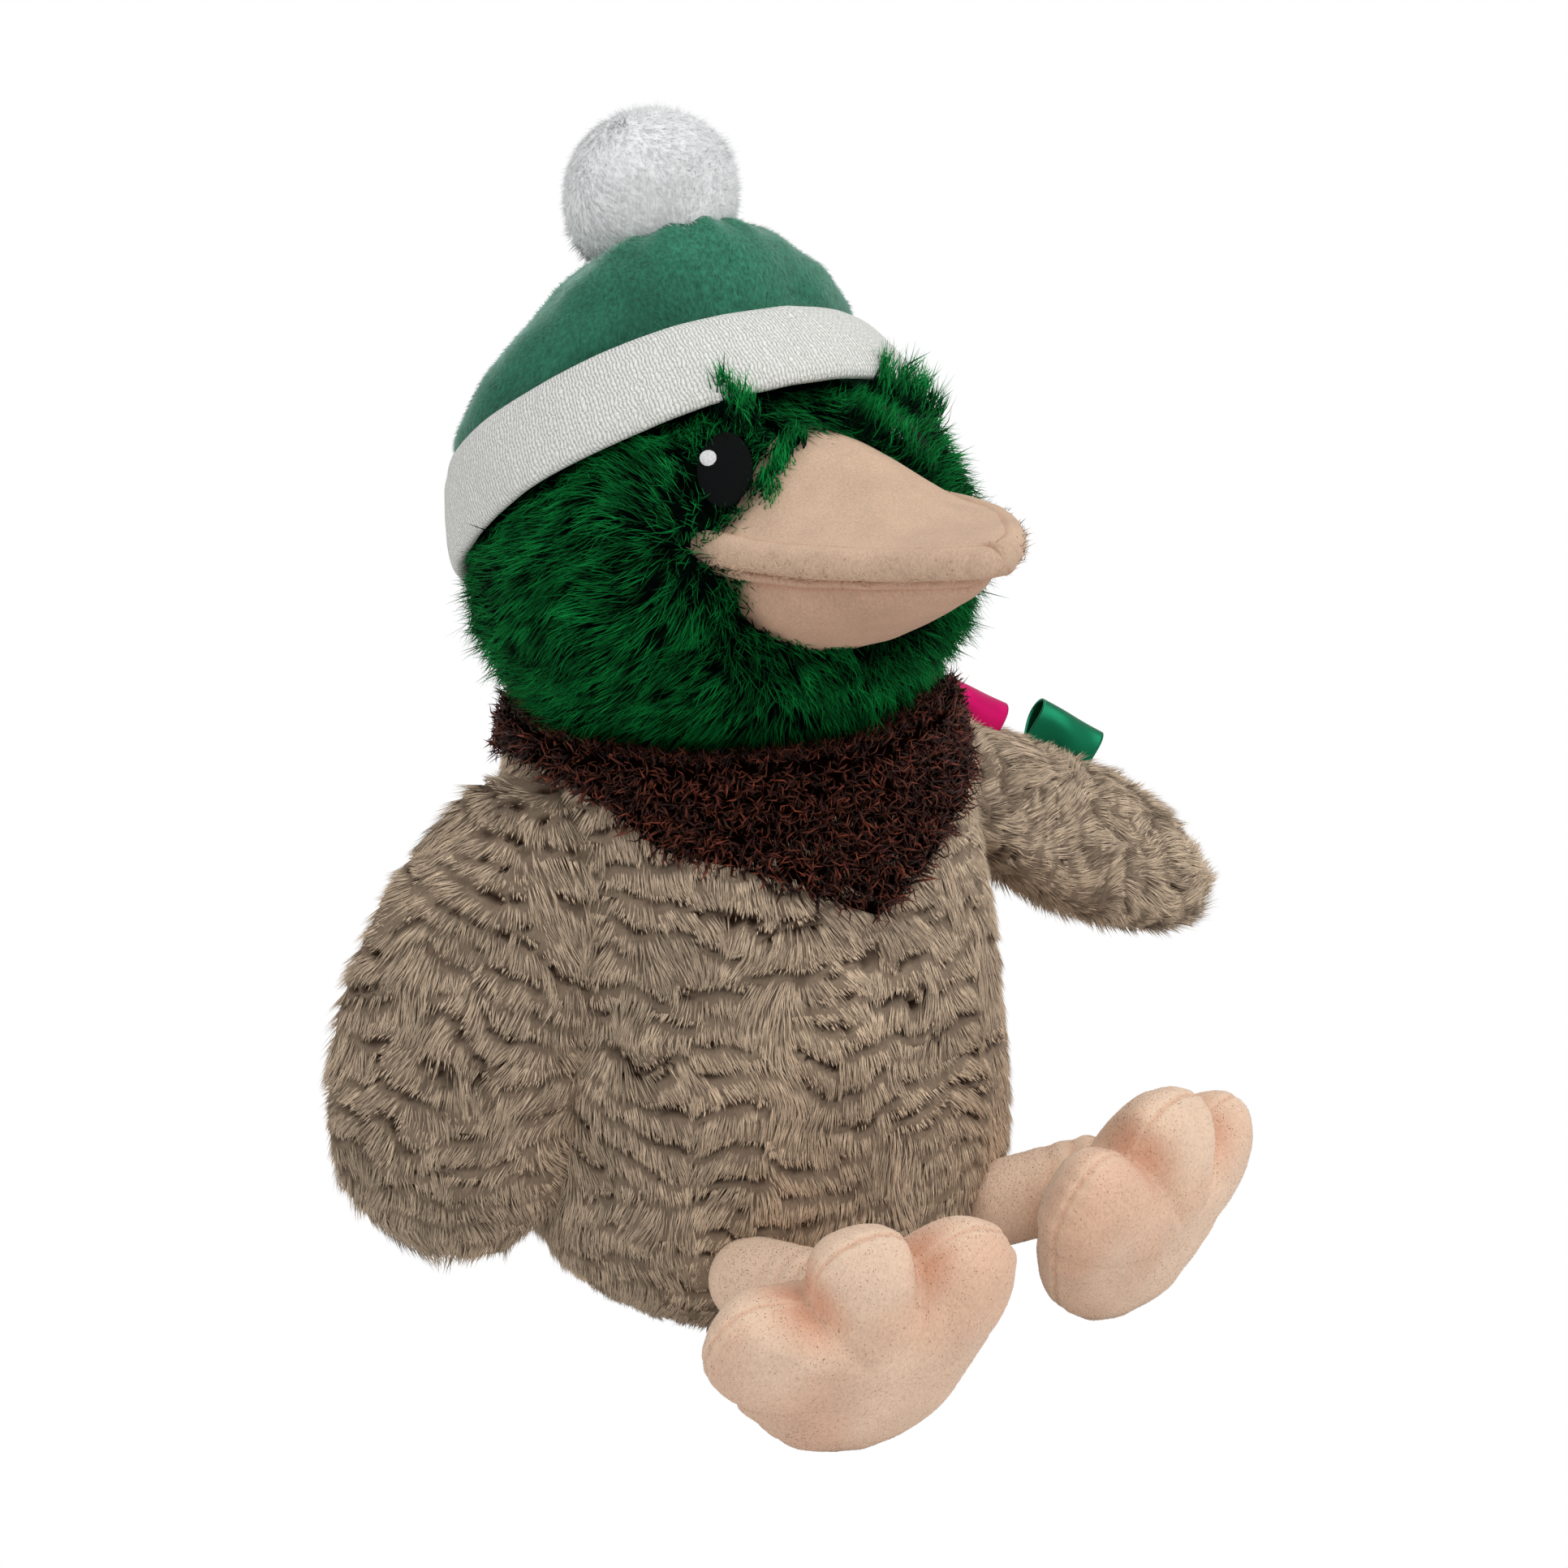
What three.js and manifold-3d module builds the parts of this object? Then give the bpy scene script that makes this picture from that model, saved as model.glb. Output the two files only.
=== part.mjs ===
// Plush duck in a bobble hat, sitting with its legs out in front of it.
// Millimetres, Z up. The duck faces -Y, so its left side is +X.
// The origin is the middle of its flat seat, on the surface that it sits on.
import * as THREE from 'three';
import { mergeVertices } from 'three/addons/utils/BufferGeometryUtils.js';
import Module from 'manifold-3d';

const wasm = await Module();
wasm.setup();

// Fits
const seamGap = 0.3; // between two pieces that touch
const jointGap = 0.6; // between two pieces that swing past each other
const wingGap = 1.3; // between a wing and the trunk, away from its sewn shoulder
const overrun = 4; // how far a cutter runs past what it cuts
const groundSize = 400; // of the slab that cuts the feet flat

// Trunk
const bodyHeight = 124;
const bodyHalfWidth = 54.5;
const bodyHalfDepth = 52;
const bodyLean = 13; // how far the top lies behind the seat
const pileDepth = 8; // fur fabric with its pile
const pouchRadius = 27;
const pouchHeight = 17;

// Collar and bib
const collarHeight = 4; // at its lowest sides
const collarProud = 1;
const collarSeam = 0.8; // gap along its lower edge, which slants
const collarSkin = 3; // of the part that runs in under the head
const bibDrop = 27;

// Head
const headHalfWidth = 54;
const headHalfDepth = 50;
const headHalfHeight = 42.5;
const headSetBack = 15; // of the head's and the neck's middle behind the origin
const headLift = 30.5; // of the head's middle over the trunk's top
const neckSink = 11; // of the neck's pivot under the trunk's top
const neckRadius = 20;

// Bill
const billHalfWidth = 26.5;
const billReach = 89; // of the tip in front of the head's middle
const billRoot = 28; // of the root in front of the head's middle
const billRise = 7; // of the mouth line, over the head's middle and before its pitch
const billRidge = 23; // of the upper bill's root over the mouth line
const billDepth = 23; // of the lower bill's root under the mouth line
const lipHeight = 4.5;
const lipProud = 1.6;
const lowerBillShort = 6; // how much sooner the lower bill ends

// Eyes
const eyeWidth = 12;
const eyeHeight = 16;
const eyeDepth = 3;
const eyeSide = 21.5; // of each eye from the middle
const eyeRise = 25.5; // over the head's middle
const highlightSize = 3.6;
const highlightSide = 2.6; // towards the middle of the face
const highlightRise = 2.8;
const highlightProud = 0.75;

// Hat
const hatSetBack = 9.7; // of the cuff's lower ring behind the head's middle
const hatRise = 10.5; // of the same ring over the head's middle
const cuffRadius = 54;
const cuffHalfDepth = 47;
const cuffThickness = 4;
const cuffHeight = 20;
const cuffTaper = 6; // how much narrower the cuff's upper edge is
const crownHeight = 25;
const crownWall = 2.5;
const crownInset = 3; // of the crown inside the cuff's outer face
const crownLean = 26; // how far the crown's top leans forward of the cuff's axis
const pompomRadius = 18;
const pompomRise = 8.5; // of its middle over the crown's top
const pompomForward = 3.5; // of its middle in front of the crown's top

// Wings
const wingLengths = { right: 94, left: 90 };
const wingHalfWidths = { right: 27, left: 24 };
const wingHalfThickness = 13;
const wingEndRound = 3.2; // how far each end bulges past its last section
const wingFlare = 19; // of the tip outwards from the shoulder
const wingBows = { right: 10, left: -3 }; // of the middle outwards from the straight line
const wingSweep = 9; // of the tip backwards from the shoulder
const shoulderInset = 7.5; // within the trunk's half width
const shoulderSetBack = 6;
const shoulderSeamRadius = 13; // of the patch where a wing is sewn on
const shoulderDrops = { right: 15, left: 23 }; // under the trunk's top

// Ribbon loops
const ribbonWidth = 16;
const ribbonHeight = 8;
const ribbonThickness = 0.7;
const ribbonFold = 1.6; // clear space between the two layers
const ribbonShares = { pink: 0.24, green: 0.57 }; // places along the wing's back edge

// Legs and feet
const legRadius = 9;
const hipInset = 23.5; // within the trunk's half width
const hipSetIn = 12; // within the trunk's half depth
const hipRise = 22;
const ankleSpreads = { right: -1.2, left: 14.8 }; // outwards from the hip
const ankleReaches = { right: 25.6, left: 11 }; // in front of the hip
const ankleRises = { right: 27.8, left: 27.6 };
const footHalfThickness = 13;
const palmRadius = 25.3;
const toeRadius = 11.3;
const toeReach = 23.6; // of a side toe's middle from the palm's middle
const palmOffset = 12; // of the palm's middle in front of the ankle

// Tail
const tailLength = 24;
const tailHalfWidth = 17;
const tailHalfThickness = 8;
const tailRise = 26;

// Angles, in degrees
const hatTilt = 41;
const billPitch = 6.5;
const eyeSlant = 8;
const wingTurnAngles = { right: 39, left: 60 }; // of a wing's width from straight sideways
const leftWingAngle = 50; // of the left wing, raised from hanging
const toeSpread = 63;
const tailTilt = 35;
const ribbonTurn = 45; // round the wing, from its back edge towards its outer face
const nodLimit = 8;
const wingSwingAngles = { right: [0, 88], left: [30, 88] };
const pompomFlopLimit = 12;
const hipSwingLimit = 25;
const ankleFlexLimit = 20;
const footAngles = {
  right: { splay: 8, lean: 19, roll: 10 },
  left: { splay: 16, lean: 18, roll: 4 },
};

// Outlines: pairs of a place along the piece and a size there, both as shares
const bodyOutlineShares = [
  [0, 0.5], [0.03, 0.69], [0.1, 0.88], [0.2, 0.975],
  [0.33, 1], [0.6, 0.98], [0.85, 0.91], [1, 0.84],
];
const crownOutlineShares = [[0, 1], [0.25, 0.97], [0.5, 0.85], [0.75, 0.62], [0.92, 0.36], [1, 0.12]];
const wingWidthShares = [
  [-0.1, 0.3], [0, 0.66], [0.15, 0.86], [0.35, 0.98],
  [0.6, 1], [0.85, 0.86], [1, 0.4],
];
const wingThicknessShares = [[-0.1, 0.3], [0, 0.6], [0.2, 0.88], [0.5, 1], [0.8, 0.85], [1, 0.35]];
const billWidthShares = [[0, 1], [0.35, 0.97], [0.6, 0.8], [0.8, 0.54], [0.93, 0.3], [1, 0.08]];
const billRidgeShares = [[0, 1], [0.22, 0.86], [0.38, 0.6], [0.6, 0.34], [0.8, 0.24], [1, 0.18]];
const billKeelShares = [[0, 1], [0.4, 0.78], [0.75, 0.42], [1, 0.14]];
const toeLengthShares = [1, 0.74, 1];
const wingRootShare = 0.06; // of the length, rising over the shoulder
const bibOutlineShares = [
  [0, 1], [0.17, 0.56], [0.28, 0.42], [0.36, 0.18],
  [0.5, 0.03], [0.7, 0.2], [1, 0.3],
];

// Roundness of the forms, as powers of the circle that each starts from
const headFullness = 0.94;
const billArchSharpness = { upper: 2.6, lower: 1 };
const crownLeanPower = 1.5;
const footFullness = 0.8;
const toeCreaseSharpness = 12;

// Facet counts
const roundSteps = 28;
const bodyRings = 10;
const headRings = 12;
const crownRings = 6;
const billRings = 8;
const archSteps = 8;
const wingRings = 10;
const wingSteps = 16;
const footRings = 7;
const footSteps = 36;
const dishRings = 8;
const sweepSteps = 5;
const smallSteps = { across: 16, down: 10 };
const legSteps = { across: 16, down: 5 };
const eyeSteps = { across: 16, down: 6 };
const ribbonSteps = 6;
const highlightSteps = { across: 10, down: 5 };

// Small step along a curve, as a share of its length, from which its direction is taken
const slopeShare = 0.02;

const vec = (x, y, z) => new THREE.Vector3(x, y, z);
const xAxis = vec(1, 0, 0);
const yAxis = vec(0, 1, 0);
const zAxis = vec(0, 0, 1);
const radians = THREE.MathUtils.degToRad;
const fullTurn = Math.PI * 2;
const headRise = bodyHeight + headLift;
const neckRise = bodyHeight - neckSink;
const shoulderSide = bodyHalfWidth - shoulderInset;
const hipSide = bodyHalfWidth - hipInset;
const hipForward = bodyHalfDepth - hipSetIn;

// Steps from 0 to 1, both included
const shares = (count) => Array.from({ length: count + 1 }, (_, step) => step / count);

// Angles once round, without the last, which is the first again
const aroundTurn = (count) => shares(count).slice(0, -1).map((share) => share * fullTurn);

// The size that a table of [place, size] pairs has at a place, on a smooth curve through its pairs
function shareAt(table, place) {
  const last = table.length - 1;
  const low = Math.max(0, Math.min(last - 1, table.findIndex((pair) => pair[0] > place) - 1));
  const start = place >= table[last][0] ? last - 1 : low;
  const slope = (row) => {
    const before = table[Math.max(row - 1, 0)];
    const after = table[Math.min(row + 1, last)];
    return (after[1] - before[1]) / (after[0] - before[0]);
  };
  const [from, to] = [table[start], table[start + 1]];
  const width = to[0] - from[0];
  const t = (place - from[0]) / width;
  return from[1] * (1 + 2 * t) * (1 - t) ** 2 + to[1] * t * t * (3 - 2 * t)
    + width * t * (1 - t) * (slope(start) * (1 - t) - slope(start + 1) * t);
}

// A closed solid from a geometry, its equal corners joined
function solidOf(geometry) {
  const bare = geometry.clone();
  bare.deleteAttribute('normal');
  bare.deleteAttribute('uv');
  const merged = mergeVertices(bare);
  const corners = [];
  for (let i = 0; i < merged.index.count; i += 3) {
    const [a, b, c] = [0, 1, 2].map((corner) => merged.index.getX(i + corner));
    if (a !== b && b !== c && c !== a) corners.push(a, b, c);
  }
  return new wasm.Manifold(new wasm.Mesh({
    numProp: 3,
    vertProperties: new Float32Array(merged.attributes.position.array),
    triVerts: new Uint32Array(corners),
  }));
}

// A geometry for three.js from a closed solid
function geometryOf(solid) {
  const { numProp, vertProperties, triVerts } = solid.getMesh();
  const geometry = new THREE.BufferGeometry();
  const places = new THREE.InterleavedBuffer(vertProperties, numProp);
  geometry.setAttribute('position', new THREE.InterleavedBufferAttribute(places, 3, 0));
  geometry.setIndex(new THREE.BufferAttribute(triVerts, 1));
  const loose = geometry.toNonIndexed();
  loose.computeVertexNormals();
  return loose;
}

// A closed skin over a stack of rings, drawn to a point at each end.
// Each ring runs counter-clockwise, seen from the end of the stack.
function skin(rings, start, end) {
  const count = rings[0].length;
  const points = [start, ...rings.flat(), end];
  const last = points.length - 1;
  const at = (ring, place) => 1 + ring * count + (place % count);
  const corners = [];
  for (let place = 0; place < count; place += 1) {
    corners.push(0, at(0, place + 1), at(0, place));
    for (let ring = 0; ring + 1 < rings.length; ring += 1) {
      corners.push(at(ring, place), at(ring, place + 1), at(ring + 1, place + 1));
      corners.push(at(ring, place), at(ring + 1, place + 1), at(ring + 1, place));
    }
    corners.push(last, at(rings.length - 1, place), at(rings.length - 1, place + 1));
  }
  return solidFrom(points, corners);
}

// A closed band whose cross-section is carried once round, each section listed the same way
function band(sections) {
  const count = sections[0].length;
  const at = (turn, place) => (turn % sections.length) * count + (place % count);
  const corners = [];
  for (let turn = 0; turn < sections.length; turn += 1) {
    for (let place = 0; place < count; place += 1) {
      corners.push(at(turn, place), at(turn + 1, place), at(turn + 1, place + 1));
      corners.push(at(turn, place), at(turn + 1, place + 1), at(turn, place + 1));
    }
  }
  return solidFrom(sections.flat(), corners);
}

function solidFrom(points, corners) {
  const geometry = new THREE.BufferGeometry();
  const places = points.flatMap((point) => point.toArray());
  geometry.setAttribute('position', new THREE.Float32BufferAttribute(places, 3));
  geometry.setIndex(corners);
  return solidOf(geometry);
}

// A ball whose half sizes are given, round its own middle
function ball(halfX, halfY, halfZ, { across, down } = smallSteps) {
  const geometry = new THREE.SphereGeometry(1, across, down);
  geometry.rotateX(Math.PI / 2);
  geometry.scale(halfX, halfY, halfZ);
  return solidOf(geometry);
}

const moved = (solid, matrix) => solid.transform(matrix.toArray());
const shifted = (solid, offset) => moved(solid, new THREE.Matrix4().setPosition(offset));
const turned = (solid, axis, degrees) => moved(
  solid,
  new THREE.Matrix4().makeRotationAxis(axis, radians(degrees)),
);
const joined = (solids) => solids.reduce((all, next) => all.add(next));

// All places that a solid takes as it turns about an axis through a point, from one angle to another
function swept(solid, pivot, axis, from, to) {
  const centred = shifted(solid, pivot.clone().negate());
  const stages = shares(sweepSteps).map((share) => turned(centred, axis, from + (to - from) * share));
  return shifted(joined(stages), pivot);
}

// The jointed groups, each at its pivot
function group(parent, position, rotation = new THREE.Euler()) {
  const made = new THREE.Group();
  made.position.copy(position);
  made.rotation.copy(rotation);
  parent.add(made);
  return made;
}

const duck = new THREE.Group();
const neckPivot = vec(0, headSetBack, neckRise);
const headCentre = vec(0, headSetBack, headRise);
const head = group(duck, headCentre);
const bill = group(head, vec(0, 0, billRise), new THREE.Euler(radians(-billPitch), 0, 0));
const hat = group(head, vec(0, hatSetBack, hatRise), new THREE.Euler(radians(-hatTilt), 0, 0));
const pompom = group(hat, vec(0, -crownLean, cuffHeight + crownHeight));
const sides = { right: -1, left: 1 };
const shoulders = {};
const hips = {};
const ankles = {};
for (const [side, sign] of Object.entries(sides)) {
  const raise = side === 'left' ? leftWingAngle : 0;
  const shoulder = vec(sign * shoulderSide, shoulderSetBack, bodyHeight - shoulderDrops[side]);
  shoulders[side] = group(duck, shoulder, new THREE.Euler(0, radians(-raise * sign), 0));
  const hip = vec(sign * hipSide, -hipForward, hipRise);
  const ankleSide = sign * (hipSide + ankleSpreads[side]);
  const ankle = vec(ankleSide, -hipForward - ankleReaches[side], ankleRises[side]);
  hips[side] = group(duck, hip);
  const { splay, lean, roll } = footAngles[side];
  const footTurn = new THREE.Euler(radians(lean), radians(roll * sign), radians(splay * sign), 'ZXY');
  ankles[side] = group(hips[side], ankle.clone().sub(hip), footTurn);
}
duck.updateMatrixWorld(true);

const toWorld = (place, solid) => moved(solid, place.matrixWorld);
const toLocal = (place, solid) => moved(solid, place.matrixWorld.clone().invert());

// Trunk: a round form whose half width follows the outline, leaning back as it rises.
// A point on it by angle from the front, height, and distance outside the fur's mean surface.
function bodyPoint(angle, z, growth) {
  const share = z / bodyHeight;
  const size = shareAt(bodyOutlineShares, Math.min(Math.max(share, 0), 1));
  const x = (bodyHalfWidth * size + growth) * Math.sin(angle);
  const y = bodyLean * share - (bodyHalfDepth * size + growth) * Math.cos(angle);
  return vec(x, y, z);
}

function bodyForm(growth, bottom, top) {
  const rings = shares(bodyRings).map((share) => {
    const z = bottom + (top - bottom) * share ** 1.5;
    return aroundTurn(roundSteps).map((angle) => bodyPoint(angle, z, growth));
  });
  const middle = (z) => vec(0, bodyLean * (z / bodyHeight), z);
  return skin(rings, middle(bottom), middle(top));
}

// Collar: a band round the neck that drops to a point in front
function collarBand(outside, inside, drop, rise) {
  const sections = aroundTurn(roundSteps).map((angle) => {
    const fromFront = Math.min(angle, fullTurn - angle) / Math.PI;
    const low = bodyHeight - collarHeight - bibDrop * shareAt(bibOutlineShares, fromFront) - drop;
    const high = bodyHeight + rise;
    const middle = (low + high) / 2;
    return [
      bodyPoint(angle, low, outside),
      bodyPoint(angle, middle, outside),
      bodyPoint(angle, high, outside),
      bodyPoint(angle, high, -inside),
      bodyPoint(angle, middle, -inside),
      bodyPoint(angle, low, -inside),
    ];
  });
  return band(sections);
}

// Dish that clears the head's underside at every turn and nod: the underside's curve,
// tipped down by the nod, turned round the neck
function headDish(gap) {
  const nod = radians(nodLimit);
  const curve = shares(dishRings).map((share) => {
    const angle = (share * Math.PI) / 2;
    const out = (headHalfWidth + gap) * Math.sin(angle);
    const up = headRise - neckRise - (headHalfHeight + gap) * Math.cos(angle);
    const radius = Math.max(out * Math.cos(nod) + up * Math.sin(nod), 0);
    return new THREE.Vector2(radius, up * Math.cos(nod) - out * Math.sin(nod));
  });
  const widest = Math.max(...curve.map((point) => point.x));
  const rim = headRise - neckRise;
  const floor = new THREE.Vector2(0, curve[0].y);
  const rest = [new THREE.Vector2(widest, rim), new THREE.Vector2(0, rim)];
  const dish = new THREE.LatheGeometry([floor, ...curve.slice(1), ...rest], roundSteps);
  dish.rotateX(Math.PI / 2);
  return shifted(solidOf(dish), neckPivot);
}

// Head: a ball a little fuller than an ellipsoid, round its own middle
function headForm(growth) {
  const wide = headHalfWidth + growth;
  const deep = headHalfDepth + growth;
  const high = headHalfHeight + growth;
  const rings = shares(headRings).slice(1, -1).map((share) => {
    const tilt = (share - 1 / 2) * Math.PI;
    const size = Math.cos(tilt) ** headFullness;
    const z = high * Math.sin(tilt);
    return aroundTurn(roundSteps)
      .map((angle) => vec(wide * size * Math.sin(angle), -deep * size * Math.cos(angle), z));
  });
  return skin(rings, vec(0, 0, -high), vec(0, 0, high));
}

// Bill: sections along the reach, from a root inside the face to the rounded tip.
// The upper half stands over the mouth line, the lower half hangs under it.
function billForm(halfWidth, reach, height, heightShares, sharpness, sign) {
  const rings = shares(billRings).map((share) => {
    const place = Math.sin((share * Math.PI) / 2);
    const y = -(billRoot + (reach - billRoot) * place);
    const wide = halfWidth * shareAt(billWidthShares, place);
    const tall = Math.max(height * shareAt(heightShares, place), lipHeight);
    const arch = shares(archSteps).map((turn) => {
      const angle = turn * Math.PI;
      const rise = lipHeight + (tall - lipHeight) * Math.sin(angle) ** sharpness;
      return [wide * Math.cos(angle), rise];
    });
    const lip = [[wide, seamGap / 2], [wide + lipProud, lipHeight / 2]];
    const outline = [...lip, ...arch, ...lip.map(([x, z]) => [-x, z]).reverse()];
    const ordered = sign > 0 ? outline : outline.map(([x, z]) => [x, -z]).reverse();
    return ordered.map(([x, z]) => vec(x, y, z));
  });
  const tip = vec(0, -reach - lipProud, (sign * lipHeight) / 2);
  return skin(rings, vec(0, -billRoot, (sign * lipHeight) / 2), tip);
}

// Eye: a shallow lens on the face, its place found on the head's surface
function onFace(side, rise) {
  const across = side / headHalfWidth;
  const up = rise / headHalfHeight;
  const size = Math.sqrt(1 - up * up) ** headFullness;
  const y = -headHalfDepth * Math.sqrt(size * size - across * across);
  const out = vec(side / headHalfWidth ** 2, y / headHalfDepth ** 2, rise / headHalfHeight ** 2);
  const place = new THREE.Matrix4().lookAt(out.normalize(), vec(0, 0, 0), zAxis);
  return place.setPosition(vec(side, y, rise));
}

function eyeForm(sign, growth) {
  const lens = ball(eyeWidth / 2 + growth, eyeHeight / 2 + growth, eyeDepth / 2 + growth, eyeSteps);
  return moved(turned(lens, zAxis, eyeSlant * sign), onFace(eyeSide * sign, eyeRise));
}

function highlightForm(sign, growth) {
  const half = highlightSize / 2 + growth;
  const lens = ball(half, half, eyeDepth / 2 + growth, highlightSteps);
  const raised = shifted(lens, vec(-highlightSide, highlightRise, highlightProud));
  return moved(raised, onFace(eyeSide * sign, eyeRise));
}

// Hat: a ring that is less deep than it is wide, the crown's outline carried round it and leant
// forward, and the folded cuff
function hatPoint(radius, angle, z) {
  return vec(radius * Math.sin(angle), (cuffRadius - cuffHalfDepth - radius) * Math.cos(angle), z);
}

function crownForm(inset, bottom) {
  const wide = cuffRadius - cuffTaper - crownInset - inset;
  const top = cuffHeight + crownHeight - inset;
  const base = cuffHeight + seamGap;
  const ring = (share, z) => aroundTurn(roundSteps).map((angle) => {
    const size = shareAt(crownOutlineShares, share);
    const lean = crownLean * share ** crownLeanPower;
    return hatPoint(wide, angle, 0).multiplyScalar(size).add(vec(0, -lean, z));
  });
  const rings = shares(crownRings).map((share) => ring(share, base + (top - base) * share));
  return skin([ring(0, bottom), ...rings], vec(0, 0, bottom), vec(0, -crownLean, top));
}

function cuffForm(growth) {
  const outer = cuffRadius + growth;
  const inner = cuffRadius - cuffThickness - growth;
  const [low, high] = [-growth, cuffHeight + growth];
  const round = cuffThickness / 2;
  const outline = [
    [outer, low + round],
    [outer - cuffTaper, high - round],
    [cuffRadius - round - cuffTaper, high],
    [inner - cuffTaper, high - round],
    [inner, low + round],
    [cuffRadius - round, low],
  ];
  const section = (angle) => outline.map(([radius, z]) => hatPoint(radius, angle, z));
  return band(aroundTurn(roundSteps).map(section));
}

// Wing: rounded sections along a bowed line from the shoulder to the tip, laid out as a right wing.
// A point on it by place along the wing, angle round the section, and distance outside it.
function wingMiddle(share, side) {
  const bow = wingBows[side] * Math.sin(share * Math.PI);
  const drop = Math.sqrt(wingLengths[side] ** 2 - wingFlare ** 2 - wingSweep ** 2);
  return vec(-wingFlare * share - bow, wingSweep * share, -drop * share);
}

function wingLine(share, side) {
  const before = wingMiddle(share - slopeShare, side);
  return wingMiddle(share + slopeShare, side).sub(before).normalize();
}

function wingPoint(share, angle, side, growth = 0) {
  const along = wingLine(share, side);
  const turn = radians(wingTurnAngles[side]);
  const width = vec(-Math.cos(turn), Math.sin(turn), 0);
  width.addScaledVector(along, -width.dot(along)).normalize();
  const thickness = vec(0, 0, 0).crossVectors(along, width);
  const wide = wingHalfWidths[side] * shareAt(wingWidthShares, share) + growth;
  const thick = wingHalfThickness * shareAt(wingThicknessShares, share) + growth;
  return wingMiddle(share, side)
    .addScaledVector(width, wide * Math.cos(angle))
    .addScaledVector(thickness, thick * Math.sin(angle));
}

function wingForm(side) {
  const rings = shares(wingRings).map((share) => {
    const place = Math.sin((share * Math.PI) / 2) * (1 + wingRootShare) - wingRootShare;
    return aroundTurn(wingSteps).map((angle) => wingPoint(place, angle, side));
  });
  const roundOff = vec(0, 0, wingEndRound);
  return skin(rings, wingMiddle(-wingRootShare, side).add(roundOff), wingMiddle(1, side).sub(roundOff));
}

// Ribbon loop: a strip folded over, standing on the wing's back edge
function ribbonForm() {
  const outer = ribbonFold / 2 + ribbonThickness;
  const inner = ribbonFold / 2;
  const crown = ribbonHeight - outer;
  const shape = new THREE.Shape();
  shape.moveTo(outer, 0);
  shape.lineTo(outer, crown);
  shape.absarc(0, crown, outer, 0, Math.PI, false);
  shape.lineTo(-outer, 0);
  shape.lineTo(-inner, 0);
  shape.lineTo(-inner, crown);
  shape.absarc(0, crown, inner, Math.PI, 0, true);
  shape.lineTo(inner, 0);
  const sizes = { depth: ribbonWidth, bevelEnabled: false, curveSegments: ribbonSteps };
  const strip = new THREE.ExtrudeGeometry(shape, sizes);
  strip.translate(0, 0, -ribbonWidth / 2);
  return solidOf(strip);
}

// Leg: a round-ended tube from the hip to the ankle
function legForm(side) {
  const hip = hips[side].getWorldPosition(vec(0, 0, 0));
  const ankle = ankles[side].getWorldPosition(vec(0, 0, 0));
  const reach = ankle.clone().sub(hip);
  const tube = new THREE.CapsuleGeometry(legRadius, reach.length(), legSteps.down, legSteps.across, 1);
  const turn = new THREE.Quaternion().setFromUnitVectors(yAxis, reach.clone().normalize());
  const place = new THREE.Matrix4().compose(hip.add(reach.multiplyScalar(0.5)), turn, vec(1, 1, 1));
  return moved(solidOf(tube), place);
}

// Room for a round-ended leg that swings about its end's middle: the end's ball, and the cone
// that the leg's side sweeps. It opens along the leg from the given end.
function swingRoom(side, fromHip, limit) {
  const hip = hips[side].getWorldPosition(vec(0, 0, 0));
  const ankle = ankles[side].getWorldPosition(vec(0, 0, 0));
  const [pivot, far] = fromHip ? [hip, ankle] : [ankle, hip];
  const radius = legRadius + jointGap;
  const reach = pivot.distanceTo(far) + legRadius;
  const tilt = radians(limit);
  const round = shares(legSteps.down).map((share) => {
    const angle = -Math.PI / 2 + share * (Math.PI / 2 - tilt);
    return new THREE.Vector2(radius * Math.cos(angle), radius * Math.sin(angle));
  });
  const mouth = new THREE.Vector2(radius / Math.cos(tilt) + reach * Math.tan(tilt), reach);
  const profile = [new THREE.Vector2(0, -radius), ...round.slice(1), mouth, new THREE.Vector2(0, reach)];
  const turn = new THREE.Quaternion().setFromUnitVectors(yAxis, far.clone().sub(pivot).normalize());
  const place = new THREE.Matrix4().compose(pivot, turn, vec(1, 1, 1));
  return moved(solidOf(new THREE.LatheGeometry(profile, legSteps.across)), place);
}

// Foot: a pillow whose outline is the farthest of the palm and three toes, smoothly joined,
// seen from the palm's middle. The sole faces -Y.
function footOutline(angle) {
  const reachTo = (distance, direction, radius) => {
    const off = distance * Math.sin(angle - direction);
    if (Math.abs(off) >= radius) return 0;
    return Math.max(distance * Math.cos(angle - direction) + Math.sqrt(radius * radius - off * off), 0);
  };
  const toes = toeLengthShares.map((share, toe) => reachTo(
    toeReach * share,
    Math.PI / 2 + radians(toeSpread) * (1 - toe),
    toeRadius,
  ));
  const sum = [palmRadius, ...toes].reduce((total, reach) => total + reach ** toeCreaseSharpness, 0);
  return sum ** (1 / toeCreaseSharpness);
}

function footForm() {
  const outline = aroundTurn(footSteps);
  const rings = shares(footRings + 1).slice(1, -1).map((share) => {
    const size = Math.sin(share * Math.PI);
    const y = footHalfThickness * Math.cos(share * Math.PI);
    return outline.map((angle) => {
      const reach = footOutline(angle) * size ** footFullness;
      return vec(reach * Math.cos(angle), y, reach * Math.sin(angle));
    });
  });
  const pillow = skin(rings, vec(0, footHalfThickness, 0), vec(0, -footHalfThickness, 0));
  return shifted(pillow, vec(0, -palmOffset, 0));
}

// Tail: a flat rounded tip at the lower back
function tailForm() {
  const tail = ball(tailHalfWidth, tailLength, tailHalfThickness);
  const place = vec(0, bodyHalfDepth, tailRise);
  return shifted(turned(tail, xAxis, tailTilt), place);
}

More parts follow.
